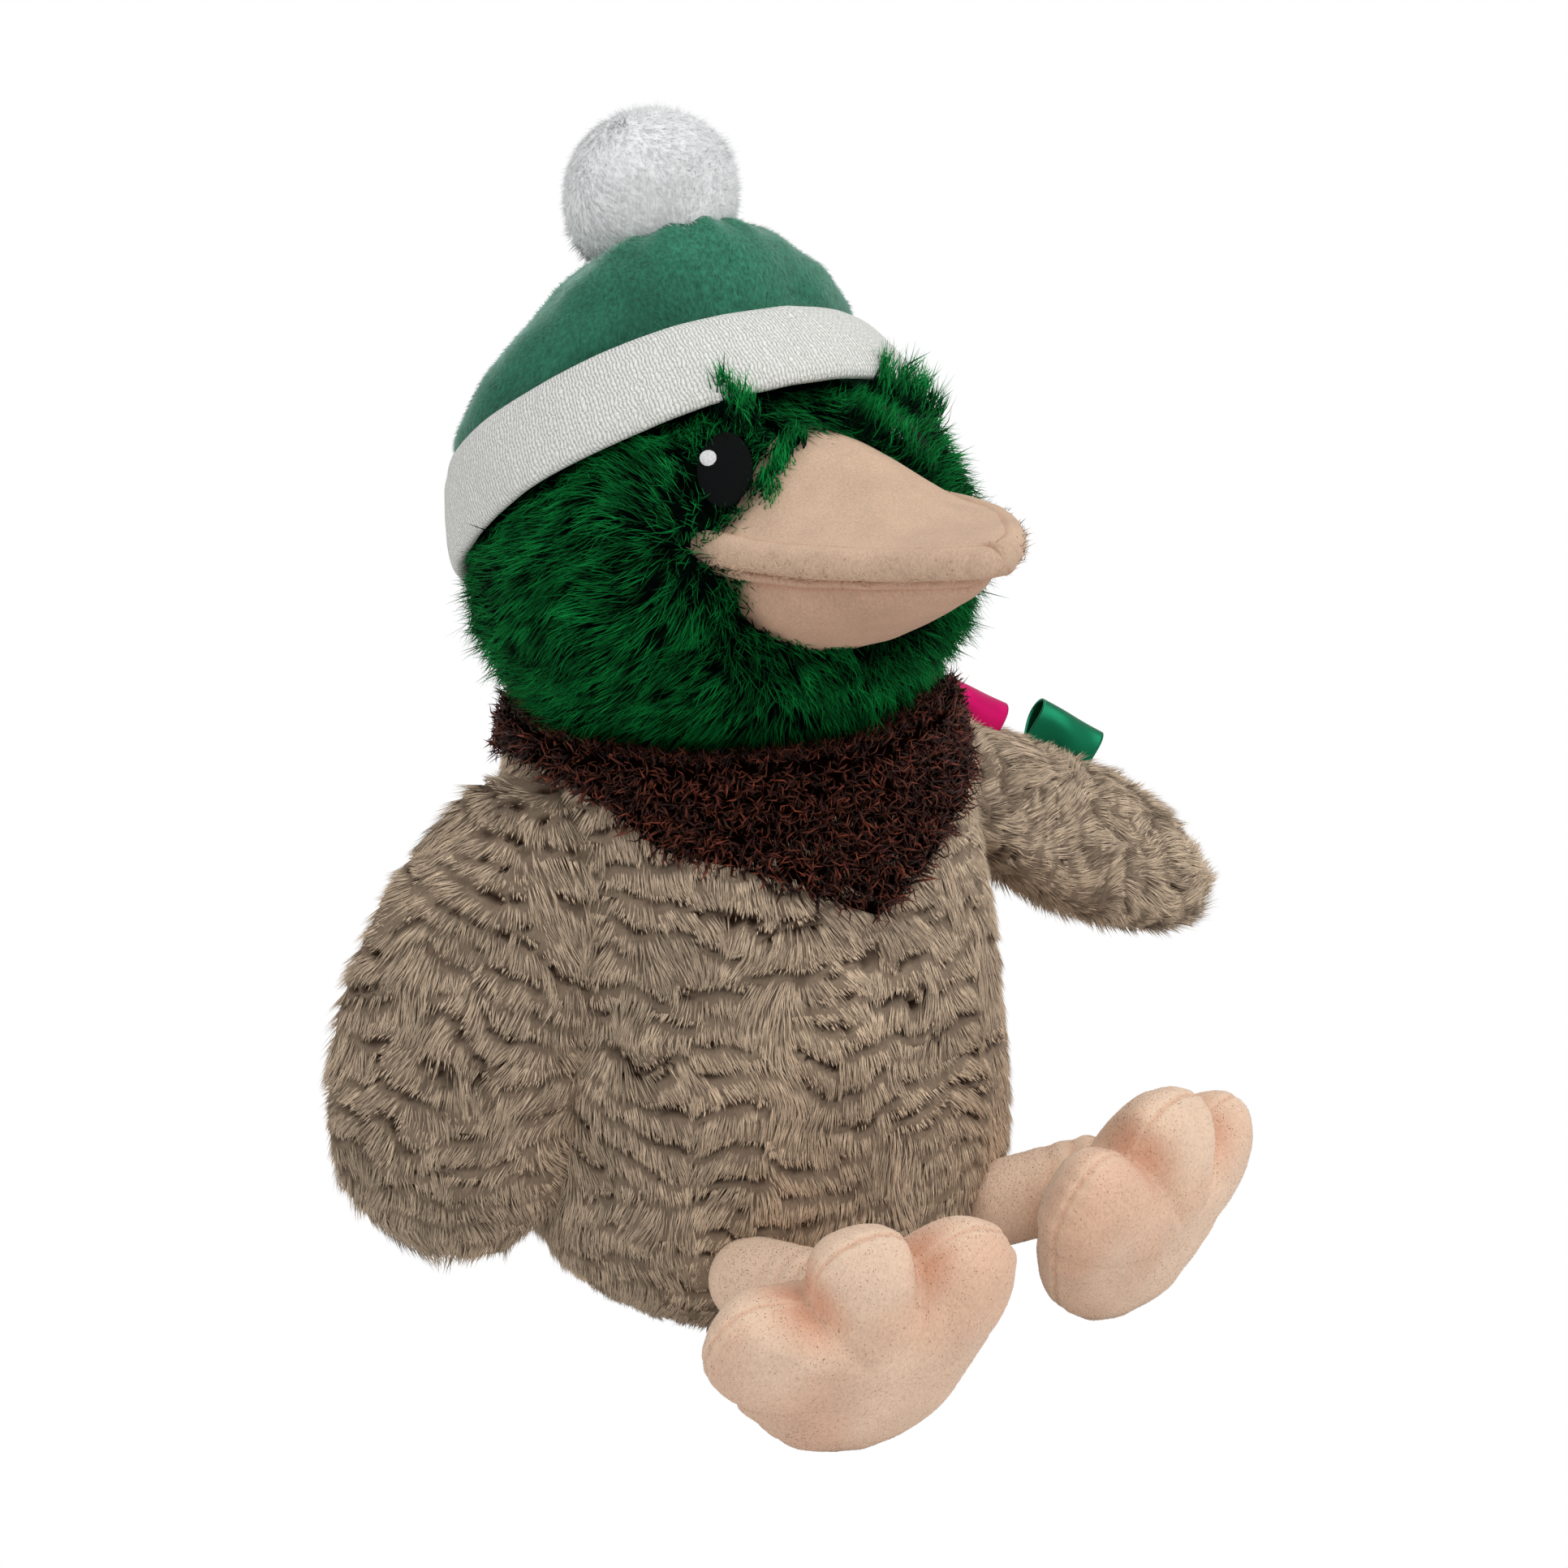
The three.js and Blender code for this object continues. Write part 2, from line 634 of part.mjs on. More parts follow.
// Cut everything where it stands
const shell = bodyForm(0, 0, bodyHeight);
const stuffingSpace = bodyForm(-pileDepth, pileDepth, bodyHeight + overrun);
const dish = headDish(jointGap);
const neckBall = shifted(ball(neckRadius, neckRadius, neckRadius), neckPivot);
const neckRoom = neckRadius + jointGap;
const neckSocket = shifted(ball(neckRoom, neckRoom, neckRoom), neckPivot);
const headAt = (growth) => toWorld(head, headForm(growth));
const legRoom = (side) => swingRoom(side, true, hipSwingLimit);
const slab = new THREE.BoxGeometry(groundSize, groundSize, bodyHeight);
const ground = shifted(solidOf(slab), vec(0, 0, -bodyHeight / 2));

const pouch = shifted(
  ball(pouchRadius, pouchRadius, pouchHeight / 2),
  vec(0, 0, pileDepth + seamGap + pouchHeight / 2),
);
const pouchRoom = shifted(
  ball(pouchRadius + seamGap, pouchRadius + seamGap, pouchHeight / 2 + seamGap * 2),
  vec(0, 0, pileDepth + seamGap + pouchHeight / 2),
);

const solids = {};
const ledgeRoom = headDish(jointGap + collarSkin + seamGap);
solids.body_cover = shell
  .subtract(stuffingSpace)
  .subtract(collarBand(pileDepth, pileDepth + overrun, collarSeam, overrun))
  .subtract(ledgeRoom)
  .subtract(legRoom('right'))
  .subtract(legRoom('left'));
solids.body_filling = bodyForm(-pileDepth - seamGap, pileDepth + seamGap, bodyHeight)
  .subtract(pouchRoom)
  .subtract(ledgeRoom)
  .subtract(neckSocket)
  .subtract(legRoom('right'))
  .subtract(legRoom('left'));
solids.bean_pouch = pouch;
solids.neck_collar = bodyForm(collarSkin - pileDepth, bodyHeight / 2, bodyHeight)
  .intersect(headDish(jointGap + collarSkin))
  .add(collarBand(collarProud, pileDepth, 0, 0))
  .subtract(dish)
  .subtract(neckSocket);
solids.tail = toWorld(duck, tailForm()).subtract(bodyForm(seamGap, 0, bodyHeight));
solids.neck_filling = neckBall;

const headSkin = headAt(0);
const eyes = (growth) => joined(Object.values(sides).map((sign) => toWorld(head, eyeForm(sign, growth))));
const hatRoom = toWorld(hat, cuffForm(seamGap));
solids.head_cover = headSkin
  .subtract(headAt(-pileDepth))
  .subtract(neckSocket)
  .subtract(eyes(seamGap))
  .subtract(hatRoom);
solids.head_filling = headAt(-pileDepth - seamGap).subtract(neckSocket);
for (const [side, sign] of Object.entries(sides)) {
  solids[`eye_${side}`] = toWorld(head, eyeForm(sign, 0).subtract(highlightForm(sign, seamGap)));
  solids[`eye_highlight_${side}`] = toWorld(head, highlightForm(sign, 0));
}

const face = headAt(seamGap);
solids.bill_upper = toWorld(
  bill,
  billForm(billHalfWidth, billReach, billRidge, billRidgeShares, billArchSharpness.upper, 1),
)
  .subtract(face)
  .subtract(eyes(seamGap));
const lowerReach = billReach - lowerBillShort;
solids.bill_lower = toWorld(
  bill,
  billForm(billHalfWidth - lipProud, lowerReach, billDepth, billKeelShares, billArchSharpness.lower, -1),
).subtract(face);

solids.hat_cuff = toWorld(hat, cuffForm(0));
const crownRim = cuffHeight + seamGap;
const crownSwing = swept(
  toWorld(hat, crownForm(-jointGap, crownRim)),
  pompom.getWorldPosition(vec(0, 0, 0)),
  xAxis,
  -pompomFlopLimit,
  pompomFlopLimit,
);
solids.hat_crown = toWorld(hat, crownForm(0, crownRim).subtract(crownForm(crownWall, -overrun)))
  .subtract(face);
solids.hat_filling = toWorld(hat, crownForm(crownWall + seamGap, crownRim)).subtract(face);
solids.hat_pompom = toWorld(pompom, shifted(
  ball(pompomRadius, pompomRadius, pompomRadius),
  vec(0, -pompomForward, pompomRise),
)).subtract(crownSwing);

const trunkAt = (gap) => bodyForm(gap, 0, bodyHeight)
  .add(collarBand(collarProud + gap, pileDepth, gap, 0));
for (const [side, sign] of Object.entries(sides)) {
  const mirror = new THREE.Matrix4().makeScale(-sign, 1, 1);
  const [lowest, highest] = wingSwingAngles[side];
  const shoulder = shoulders[side].position;
  const hanging = shifted(moved(wingForm(side), mirror), shoulder);
  const sweepOf = (gap) => swept(trunkAt(gap), shoulder, yAxis, lowest * sign, highest * sign);
  const patch = ball(shoulderSeamRadius, shoulderSeamRadius, shoulderSeamRadius);
  const away = sweepOf(wingGap).subtract(shifted(patch, shoulder));
  const cut = hanging.subtract(away).subtract(sweepOf(seamGap));
  solids[`wing_${side}`] = toWorld(shoulders[side], shifted(cut, shoulder.clone().negate()));
}

// Ribbon loops, which stand on the left wing's back edge
const leftMirror = new THREE.Matrix4().makeScale(-1, 1, 1);
const leftWing = toWorld(shoulders.left, moved(wingForm('left'), leftMirror));
for (const [colour, share] of Object.entries(ribbonShares)) {
  const edge = wingPoint(share, -radians(ribbonTurn), 'left', seamGap);
  const along = wingLine(share, 'left');
  const outwards = edge.clone().sub(wingPoint(share, -radians(ribbonTurn), 'left'));
  outwards.addScaledVector(along, -outwards.dot(along)).normalize();
  const across = vec(0, 0, 0).crossVectors(outwards, along);
  const place = new THREE.Matrix4().makeBasis(across, outwards, along).setPosition(edge);
  const standing = moved(moved(ribbonForm(), place), leftMirror);
  solids[`ribbon_loop_${colour}`] = toWorld(shoulders.left, standing).subtract(leftWing);
}

for (const side of Object.keys(sides)) {
  solids[`leg_${side}`] = legForm(side);
  solids[`foot_${side}`] = toWorld(ankles[side], footForm())
    .subtract(swingRoom(side, false, ankleFlexLimit))
    .subtract(ground);
}

// Colours and surfaces
const looks = {
  body_cover: [0x9c8a72, 0.95],
  body_filling: [0xf2f0ea, 1],
  bean_pouch: [0xd9d2c0, 0.9],
  neck_collar: [0x3d1f17, 0.95],
  tail: [0x9c8a72, 0.95],
  neck_filling: [0xf2f0ea, 1],
  head_cover: [0x0f6b2b, 0.9],
  head_filling: [0xf2f0ea, 1],
  bill_upper: [0xe9bf9e, 0.85],
  bill_lower: [0xe9bf9e, 0.85],
  eye_right: [0x0c0e14, 0.5],
  eye_left: [0x0c0e14, 0.5],
  eye_highlight_right: [0xf7f7f7, 0.6],
  eye_highlight_left: [0xf7f7f7, 0.6],
  hat_crown: [0x4f947c, 0.85],
  hat_cuff: [0xdedbd2, 0.9],
  hat_filling: [0xf2f0ea, 1],
  hat_pompom: [0xe4e5e8, 0.95],
  wing_right: [0x9c8a72, 0.95],
  wing_left: [0x9c8a72, 0.95],
  ribbon_loop_pink: [0xe0187a, 0.35],
  ribbon_loop_green: [0x0f6b45, 0.35],
  leg_right: [0xe9bf9e, 0.85],
  leg_left: [0xe9bf9e, 0.85],
  foot_right: [0xe9bf9e, 0.85],
  foot_left: [0xe9bf9e, 0.85],
};

// The group that each piece moves with
const holders = {
  neck_filling: duck,
  head_cover: head,
  head_filling: head,
  bill_upper: bill,
  bill_lower: bill,
  eye_right: head,
  eye_left: head,
  eye_highlight_right: head,
  eye_highlight_left: head,
  hat_crown: hat,
  hat_cuff: hat,
  hat_filling: hat,
  hat_pompom: pompom,
  wing_right: shoulders.right,
  wing_left: shoulders.left,
  ribbon_loop_pink: shoulders.left,
  ribbon_loop_green: shoulders.left,
  leg_right: hips.right,
  leg_left: hips.left,
  foot_right: ankles.right,
  foot_left: ankles.left,
};

for (const [name, solid] of Object.entries(solids)) {
  const place = holders[name] ?? duck;
  const [color, roughness] = looks[name];
  const material = new THREE.MeshStandardMaterial({ color, roughness, metalness: 0 });
  const mesh = new THREE.Mesh(geometryOf(toLocal(place, solid)), material);
  mesh.name = name;
  place.add(mesh);
}

export default duck;
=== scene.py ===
"""Plush duck in a bobble hat, dressed in fur, velour, knit and satin around its packed frame."""
import math

import bpy
import numpy as np
from bpy.props import FloatProperty, FloatVectorProperty, IntProperty, PointerProperty
from mathutils import Matrix, Vector


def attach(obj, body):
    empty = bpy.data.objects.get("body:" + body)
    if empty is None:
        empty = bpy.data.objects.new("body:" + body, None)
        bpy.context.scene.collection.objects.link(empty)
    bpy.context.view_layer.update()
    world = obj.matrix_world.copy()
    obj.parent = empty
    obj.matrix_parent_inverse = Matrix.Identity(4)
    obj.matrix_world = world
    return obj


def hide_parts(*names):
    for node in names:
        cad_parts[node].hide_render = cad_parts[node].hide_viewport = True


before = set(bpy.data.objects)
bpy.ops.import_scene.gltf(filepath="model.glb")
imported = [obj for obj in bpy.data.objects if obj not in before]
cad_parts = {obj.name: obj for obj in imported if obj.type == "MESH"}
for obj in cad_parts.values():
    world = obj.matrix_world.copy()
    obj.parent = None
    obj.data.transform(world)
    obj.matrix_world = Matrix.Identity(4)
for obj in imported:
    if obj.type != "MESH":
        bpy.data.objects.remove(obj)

bl_info = {
    "name": "Plush duck",
    "version": (1, 0, 0),
    "blender": (4, 5, 0),
    "location": "3D View > Sidebar > Duck",
    "description": "Builds a plush duck in a bobble hat",
    "category": "Object",
}

MM = 0.001
TURN = 2 * math.pi
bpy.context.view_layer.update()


# Sizes and colours


def named(description):
    return {"name": description.split(",")[0], "description": description}


def length(default, description):
    """A size in millimetres, kept in metres"""
    return FloatProperty(default=default * MM, unit="LENGTH", precision=5, **named(description))


def degrees(default, description):
    return FloatProperty(default=math.radians(default), subtype="ANGLE", **named(description))


def count(default, description):
    return IntProperty(default=default, min=0, **named(description))


def colour(red, green, blue, description):
    """A colour given as it looks on a screen, from 0 to 255"""
    return FloatVectorProperty(size=3, default=[linear(c / 255) for c in (red, green, blue)], subtype="COLOR",
                               **named(description))


def linear(value):
    return value / 12.92 if value <= 0.04045 else ((value + 0.055) / 1.055) ** 2.4


class DuckTrunk(bpy.types.PropertyGroup):
    """The trunk with its bib and tail"""
    height: length(124, "Height of the trunk")
    half_width: length(54.5, "Half width of the trunk")
    half_depth: length(52, "Half depth of the trunk")
    lean: length(13, "How far the trunk's top lies behind its seat")
    pile: length(6.4, "Length of the trunk's hair")
    band: length(6.6, "Height of one band of the embossed fur")
    hairs: count(140000, "Hairs on the trunk")
    wing_hairs: count(33000, "Hairs on each wing")
    collar_curls: count(10500, "Curls of the bib")
    fur_colour: colour(219, 195, 168, "Fur of the trunk, at its tips")
    # The root colour is also the colour of the painted shade in the bands' gaps, in the partings and on the cloth
    # under the hairs
    root_colour: colour(46, 24, 8, "Fur of the trunk, at its roots")
    bib_colour: colour(118, 56, 38, "Bib, at the tips of its curls")
    bib_root: colour(9, 2, 1, "Bib, at its roots")


class DuckHead(bpy.types.PropertyGroup):
    """The head, its bill and its eyes"""
    half_width: length(54, "Half width of the head")
    half_depth: length(50, "Half depth of the head")
    half_height: length(42.5, "Half height of the head")
    set_back: length(15, "Head's middle behind the seat's middle")
    rise: length(154.5, "Height of the head's middle")
    pile: length(10, "Length of the head's hair")
    tufts: count(42000, "Tufts on the head")
    tip_colour: colour(20, 144, 66, "Fur of the head, at its tips")
    root_colour: colour(0, 17, 7, "Fur of the head, at its roots")
    bill_colour: colour(211, 180, 155, "Bill")
    # Painted shade: the bill's creases, its mouth line and its whole lower half, under the lip, take this colour
    crease_shade_colour: colour(196, 138, 112, "Bill, in its creases")
    eye_colour: colour(4, 6, 7, "Eyes")


class DuckHat(bpy.types.PropertyGroup):
    """The hat"""
    radius: length(54, "Radius of the cuff")
    half_depth: length(47, "Half depth of the cuff")
    cuff_height: length(20, "Height of the cuff")
    cuff_thickness: length(4, "Thickness of the cuff")
    cuff_taper: length(6, "How much narrower the cuff's upper edge is")
    crown_height: length(25, "Height of the crown over the cuff")
    crown_lean: length(26, "How far the crown's top leans forward")
    set_back: length(9.7, "Cuff's ring behind the head's middle")
    rise: length(10.5, "Cuff's ring over the head's middle")
    tilt: degrees(41, "Tilt of the hat")
    pompom_radius: length(18, "Radius of the pompom")
    pompom_rise: length(8.5, "Pompom's middle over the crown's top")
    pompom_forward: length(3.5, "Pompom's middle in front of the crown's top")
    ribs: count(200, "Columns of stitches round the cuff")
    stitch: length(1.25, "Height of a stitch")
    pompom_hairs: count(24000, "Hairs on the pompom")
    crown_colour: colour(46, 114, 89, "Crown")
    cuff_colour: colour(250, 250, 245, "Cuff")
    pompom_colour: colour(250, 251, 252, "Pompom")


class DuckLimbs(bpy.types.PropertyGroup):
    """Wings, legs and feet"""
    right_wing_length: length(94, "Length of the right wing")
    left_wing_length: length(90, "Length of the left wing")
    right_wing_half_width: length(27, "Half width of the right wing")
    left_wing_half_width: length(24, "Half width of the left wing")
    wing_half_thickness: length(13, "Half thickness of a wing")
    leg_radius: length(9, "Radius of a leg")
    palm_radius: length(25.3, "Radius of a foot's palm")
    toe_radius: length(11.3, "Radius of a toe")
    toe_reach: length(23.6, "Side toe's middle from the palm's middle")
    foot_half_thickness: length(13, "Half thickness of a foot")
    foot_colour: colour(244, 212, 186, "Legs and feet")
    # Painted shade in the creases, wrinkles and seam of legs and feet, and the feet's warm patches of their own colour
    foot_crease: colour(214, 144, 110, "Legs and feet, in their creases")
    pink: colour(250, 24, 122, "First ribbon")
    green: colour(22, 132, 92, "Second ribbon")


SETTINGS = {"duck_trunk": DuckTrunk, "duck_head": DuckHead, "duck_hat": DuckHat, "duck_limbs": DuckLimbs}


# Outlines: pairs of a place along the piece and a size there, both as shares
TRUNK_SHARES = [(0, 0.5), (0.03, 0.69), (0.1, 0.88), (0.2, 0.975), (0.33, 1), (0.6, 0.98), (0.85, 0.91), (1, 0.84)]
CROWN_SHARES = [(0, 1), (0.25, 0.97), (0.5, 0.85), (0.75, 0.62), (0.92, 0.36), (1, 0.12)]
WING_WIDTH_SHARES = [(-0.1, 0.3), (0, 0.66), (0.15, 0.86), (0.35, 0.98), (0.6, 1), (0.85, 0.86), (1, 0.4)]
WING_THICK_SHARES = [(-0.1, 0.3), (0, 0.6), (0.2, 0.88), (0.5, 1), (0.8, 0.85), (1, 0.35)]
BILL_WIDTH_SHARES = [(0, 1), (0.35, 0.97), (0.6, 0.8), (0.8, 0.54), (0.93, 0.3), (1, 0.08)]
BILL_RIDGE_SHARES = [(0, 0.94), (0.22, 0.83), (0.38, 0.6), (0.6, 0.34), (0.8, 0.24), (1, 0.18)]
BILL_KEEL_SHARES = [(0, 1), (0.4, 0.78), (0.75, 0.42), (1, 0.14)]
BIB_SHARES = [(0, 1), (0.17, 0.56), (0.28, 0.42), (0.36, 0.18), (0.5, 0.03), (0.7, 0.2), (1, 0.3)]

# The cloth lies inside the solid by an inset, so that its hair ends near the solid's surface
SKIN_INSET, HEAD_INSET, BIB_INSET = 1.3 * MM, 4.5 * MM, 0.2 * MM
SIDES = {"right": -1, "left": 1}
WING_FLARE, WING_SWEEP, WING_ROOT = 19 * MM, 9 * MM, 0.06
# How strong the bands of a wing's fur are, and how tousled it is
WING_LOOKS = {"right": (0.9, 0.25), "left": (0.55, 0.75)}
WING_BOWS = {"right": 10 * MM, "left": -3 * MM}
SHOULDERS = {"right": (-47 * MM, 6 * MM, 109 * MM), "left": (47 * MM, 6 * MM, 101 * MM)}
WING_TURNS = {"right": math.radians(39), "left": math.radians(60)}
WING_RAISES = {"right": 0.0, "left": math.radians(50)}
WING_ENDS = 0.04, 0.93
TAIL_SIZE, TAIL_LIFT, TAIL_RISE, TAIL_HAIRS = np.array([16, 22, 7]) * MM, math.radians(35), 26 * MM, 5000
HIPS = {"right": (-31 * MM, -40 * MM, 22 * MM), "left": (31 * MM, -40 * MM, 22 * MM)}
ANKLES = {"right": (-29.8 * MM, -65.6 * MM, 27.8 * MM), "left": (45.8 * MM, -51 * MM, 27.6 * MM)}
FOOT_TURNS = {"right": (8, 19, 10), "left": (16, 18, 4)}
PALM_OFFSET, TOE_NOTCH, HEEL_CORNER = 12 * MM, 5.2 * MM, 2.4 * MM
TOE_SPREAD, TOE_MIDDLE_SHARE, TOE_SHARPNESS = math.radians(63), 0.74, 12
NOTCHES = [math.pi / 2 - toe * TOE_SPREAD * 0.52 for toe in (-1, 1)]
BILL_HALF_WIDTH, BILL_REACH, BILL_ROOT = 26.5 * MM, 89 * MM, 28 * MM
BILL_RISE, BILL_PITCH, BILL_RIDGE, BILL_DEPTH = 7 * MM, math.radians(6.5), 23 * MM, 23 * MM
LIP_HEIGHT, LIP_PROUD, LOWER_SHORT = 4.5 * MM, 2.7 * MM, 6 * MM
BILL_ROWS, BILL_ROUND, NOSE_ROWS = 80, 120, 12
HEAD_FULLNESS = 0.94
EYE_SIDE, EYE_RISE, EYE_WIDTH, EYE_HEIGHT = 21.5 * MM, 28.3 * MM, 10.8 * MM, 17 * MM
EYE_SLANT = math.radians(8)
TUFT_HAIRS, FRINGE_HAIRS, CUFF_TUFT_TURNS, TUFTS_A_TURN, EYE_TUFTS = 6, 30, (-15, 28, 40, 52), 6, 11
COLLAR_HEIGHT, BIB_DROP, BIB_LEDGE, BIB_THICKNESS = 4 * MM, 27 * MM, 0.3, 2.2 * MM
NECK_PLACE, NECK_RADIUS = np.array([0, 15 * MM, 113 * MM]), 19 * MM
POMPOM_SHIFT = np.array([-1.3, 0.9, -0.8]) * MM
# Naps: length, width and how far the fibres lie down
CROWN_NAP, FOOT_NAP = (1.2 * MM, 0.2 * MM, 1.4), (0.9 * MM, 0.12 * MM, 0.7)
CROWN_FIBRES, FOOT_FIBRES, LEG_FIBRES = 24000, 7000, 3000
# The most hairs of one mesh, which keep it under 200,000 triangles
MOST_BANDED, MOST_CURLS, MOST_HEAD = 48000, 12000, 19000
# Points of a grid: along and round the piece, or for the cuff round it and round its section
TRUNK_GRID, WING_GRID, TAIL_GRID, BIB_GRID, HEAD_GRID = (210, 240), (120, 110), (60, 60), (60, 240), (90, 120)
EYE_GRID, CUFF_GRID, CROWN_GRID, POMPOM_GRID, FOOT_GRID, LEG_GRID = (
    (30, 50), (440, 44), (110, 180), (50, 70), (80, 180), (60, 60))
RIBBON_WIDTH, RIBBON_HEIGHT, RIBBON_SEWN_IN, RIBBON_THICKNESS = 16 * MM, 8 * MM, 3.5 * MM, 0.35 * MM
RIBBON_BEND = 3.0 * MM
RIBBON_TURN, RIBBON_TWIST = math.radians(45), math.radians(-24)
RIBBON_SHIFTS = {"pink": (-7 * MM, -3 * MM), "green": (-3.2 * MM, -0.8 * MM)}
RIBBON_ROLLS = {"pink": math.radians(9), "green": math.radians(13)}
RIBBON_SHARES = {"pink": 0.24, "green": 0.57}
# Lamps: name, azimuth, elevation, distance, size and power
LAMPS = (("key", 22, 46, 1.1, 0.9, 4.3), ("fill", -95, 30, 1.2, 1.2, 2.3), ("top", 120, 65, 1.2, 1.0, 2.4))
LAMPS_AIM = Vector((0, 0, 0.12))
CAMERA_AZIMUTH, CAMERA_ELEVATION, CAMERA_DISTANCE, FOCAL_LENGTH = -35, 20, 0.9, 97.27
CAMERA_RIGHT, CAMERA_UP = 3.62 * MM, 102.4 * MM


# Small mathematics on whole arrays


def share_at(table, place):
    """Cubic curve through a table's pairs, with each pair's slope taken from its neighbours"""
    x, y = np.array(table, float).T
    row = np.clip(np.searchsorted(x, place, side="right") - 1, 0, len(x) - 2)
    slope = np.empty_like(y)
    slope[1:-1] = (y[2:] - y[:-2]) / (x[2:] - x[:-2])
    slope[0], slope[-1] = (y[1] - y[0]) / (x[1] - x[0]), (y[-1] - y[-2]) / (x[-1] - x[-2])
    wide = x[row + 1] - x[row]
    t = (place - x[row]) / wide
    return (y[row] * (1 + 2 * t) * (1 - t) ** 2 + y[row + 1] * t * t * (3 - 2 * t)
            + wide * t * (1 - t) * (slope[row] * (1 - t) - slope[row + 1] * t))


def unit(vectors):
    return vectors / np.maximum(np.linalg.norm(vectors, axis=-1, keepdims=True), 1e-12)


def flattened(vectors, normal):
    """Vectors without their part along the normal"""
    return vectors - normal * (vectors * normal).sum(-1, keepdims=True)


def turned(first, second, angle):
    """Two directions, turned by an angle in their own plane"""
    return (first * math.cos(angle) + second * math.sin(angle), second * math.cos(angle) - first * math.sin(angle))


def smooth(low, high, values):
    t = np.clip((values - low) / (high - low), 0, 1)
    return t * t * (3 - 2 * t)


def bell(values, width):
    return np.exp(-(values / width) ** 2)


def rounded(over):
    """Share of a width that is left at an end: all at 0 and none at 1, along a quarter of a circle"""
    return np.sqrt(1 - np.clip(over, 0, 1) ** 2)


def eased(values, power):
    return np.sign(values) * np.abs(values) ** power


def rotation(axis, angle):
    return np.array(Matrix.Rotation(angle, 3, axis))


def stack(*columns):
    return np.stack(np.broadcast_arrays(*columns), -1)


def into(base, points):
    """World points as seen from a base, which is a middle and three axes"""
    middle, axes = base
    return (points - middle) @ axes


def out_of(base, points):
    """Points given as seen from a base, in the world"""
    middle, axes = base
    return points @ axes.T + middle


def hashed(cube):
    """A place from 0 to 4095 for each cube, as good as random"""
    return (cube[..., 0] * 73856093 ^ cube[..., 1] * 19349663 ^ cube[..., 2] * 83492791) & 4095


def noise(points, size, seed):
    """Value noise from -1 to 1: random values at the corners of cubes of a size, smoothly joined"""
    table = np.random.default_rng(seed + 101).uniform(-1, 1, 4096)
    scaled = points / size
    cube = np.floor(scaled).astype(np.int64)
    part = scaled - cube
    part = part * part * (3 - 2 * part)
    total = np.zeros(scaled.shape[:-1])
    for corner in range(8):
        bits = np.array([corner & 1, corner >> 1 & 1, corner >> 2 & 1])
        total += table[hashed(cube + bits)] * np.prod(np.where(bits, part, 1 - part), axis=-1)
    return total


def noises(points, size, seed):
    """Three noises side by side, as a direction"""
    return stack(*(noise(points, size, seed + k) for k in range(3)))


def waves(points, *parts):
    """Noises added up, each given by its share, size and seed"""
    return sum(share * noise(points, size, seed) for share, size, seed in parts)


def cells(points, size, seed):
    """One random value from 0 to 1 in each cube of a size, with ragged borders between the cubes"""
    bent = points + 0.3 * size * noises(points, 0.5 * size, seed)
    layer = np.floor(bent[..., 2] / size)
    bent = bent + size * stack(np.sin(layer * 12.9), np.sin(layer * 7.3), 0)
    return np.random.default_rng(seed + 7).random(4096)[hashed(np.floor(bent / size).astype(np.int64))]


def grid(low, high, rows, around):
    """Places v along a surface and u round it"""
    return np.meshgrid(np.linspace(low, high, rows), np.arange(around) / around, indexing="ij")


def round_places(many):
    """Angles once round, as one row"""
    return np.arange(many)[None, :] / many * TURN


def frame_at(surface, u, v):
    """Points of a surface with the direction along v, and the normal with the area's measure as its length"""
    step = 2e-3
    low, high = np.clip(v - step, 0, 1), np.clip(v + step, 0, 1)
    along_u = surface(u + step, v) - surface(u - step, v)
    along_v = surface(u, high) - surface(u, low)
    return surface(u, v), unit(along_v), np.cross(along_u, along_v)


def scatter(surface, wanted, rng, density=None):
    """Evenly spread random places on a surface: uniform shares, kept in proportion to the area there"""
    u, v = rng.random(wanted * 4), rng.uniform(0.001, 0.999, wanted * 4)
    points, _, normal = frame_at(surface, u, v)
    weight = np.linalg.norm(normal, axis=-1)
    if density is not None:
        weight = weight * density(points)
    keep = rng.choice(len(u), min(wanted, int((weight > 0).sum())), replace=False, p=weight / weight.sum())
    return u[keep], v[keep]


# Meshes


def object_from(name, points, faces, uv, tone, material, facing=None):
    """One mesh from arrays: points, lists of faces with the same number of corners, and a UV per corner"""
    corners = np.concatenate([part.ravel() for part in faces])
    sizes = np.concatenate([np.full(len(part), part.shape[1]) for part in faces])
    mesh = bpy.data.meshes.new(name)
    mesh.vertices.add(len(points))
    mesh.vertices.foreach_set("co", np.ascontiguousarray(points, np.float32).ravel())
    mesh.loops.add(len(corners))
    mesh.loops.foreach_set("vertex_index", corners.astype(np.int32))
    mesh.polygons.add(len(sizes))
    mesh.polygons.foreach_set("loop_start", (np.cumsum(sizes) - sizes).astype(np.int32))
    mesh.polygons.foreach_set("use_smooth", np.ones(len(sizes), bool))
    mesh.uv_layers.new(name="OFBake").data.foreach_set("uv", np.ascontiguousarray(uv, np.float32).ravel())
    if tone is not None:
        layer = mesh.attributes.new("tone", "FLOAT_VECTOR", "POINT")
        layer.data.foreach_set("vector", np.ascontiguousarray(tone, np.float32).ravel())
    mesh.update(calc_edges=True)
    if mesh.validate(verbose=False):
        raise RuntimeError(f"{name}: the mesh had faults")
    if facing is not None:
        mesh.normals_split_custom_set_from_vertices(np.ascontiguousarray(facing, np.float32))
    made = bpy.data.objects.new(name, mesh)
    bpy.context.scene.collection.objects.link(made)
    mesh.materials.append(material)
    return made


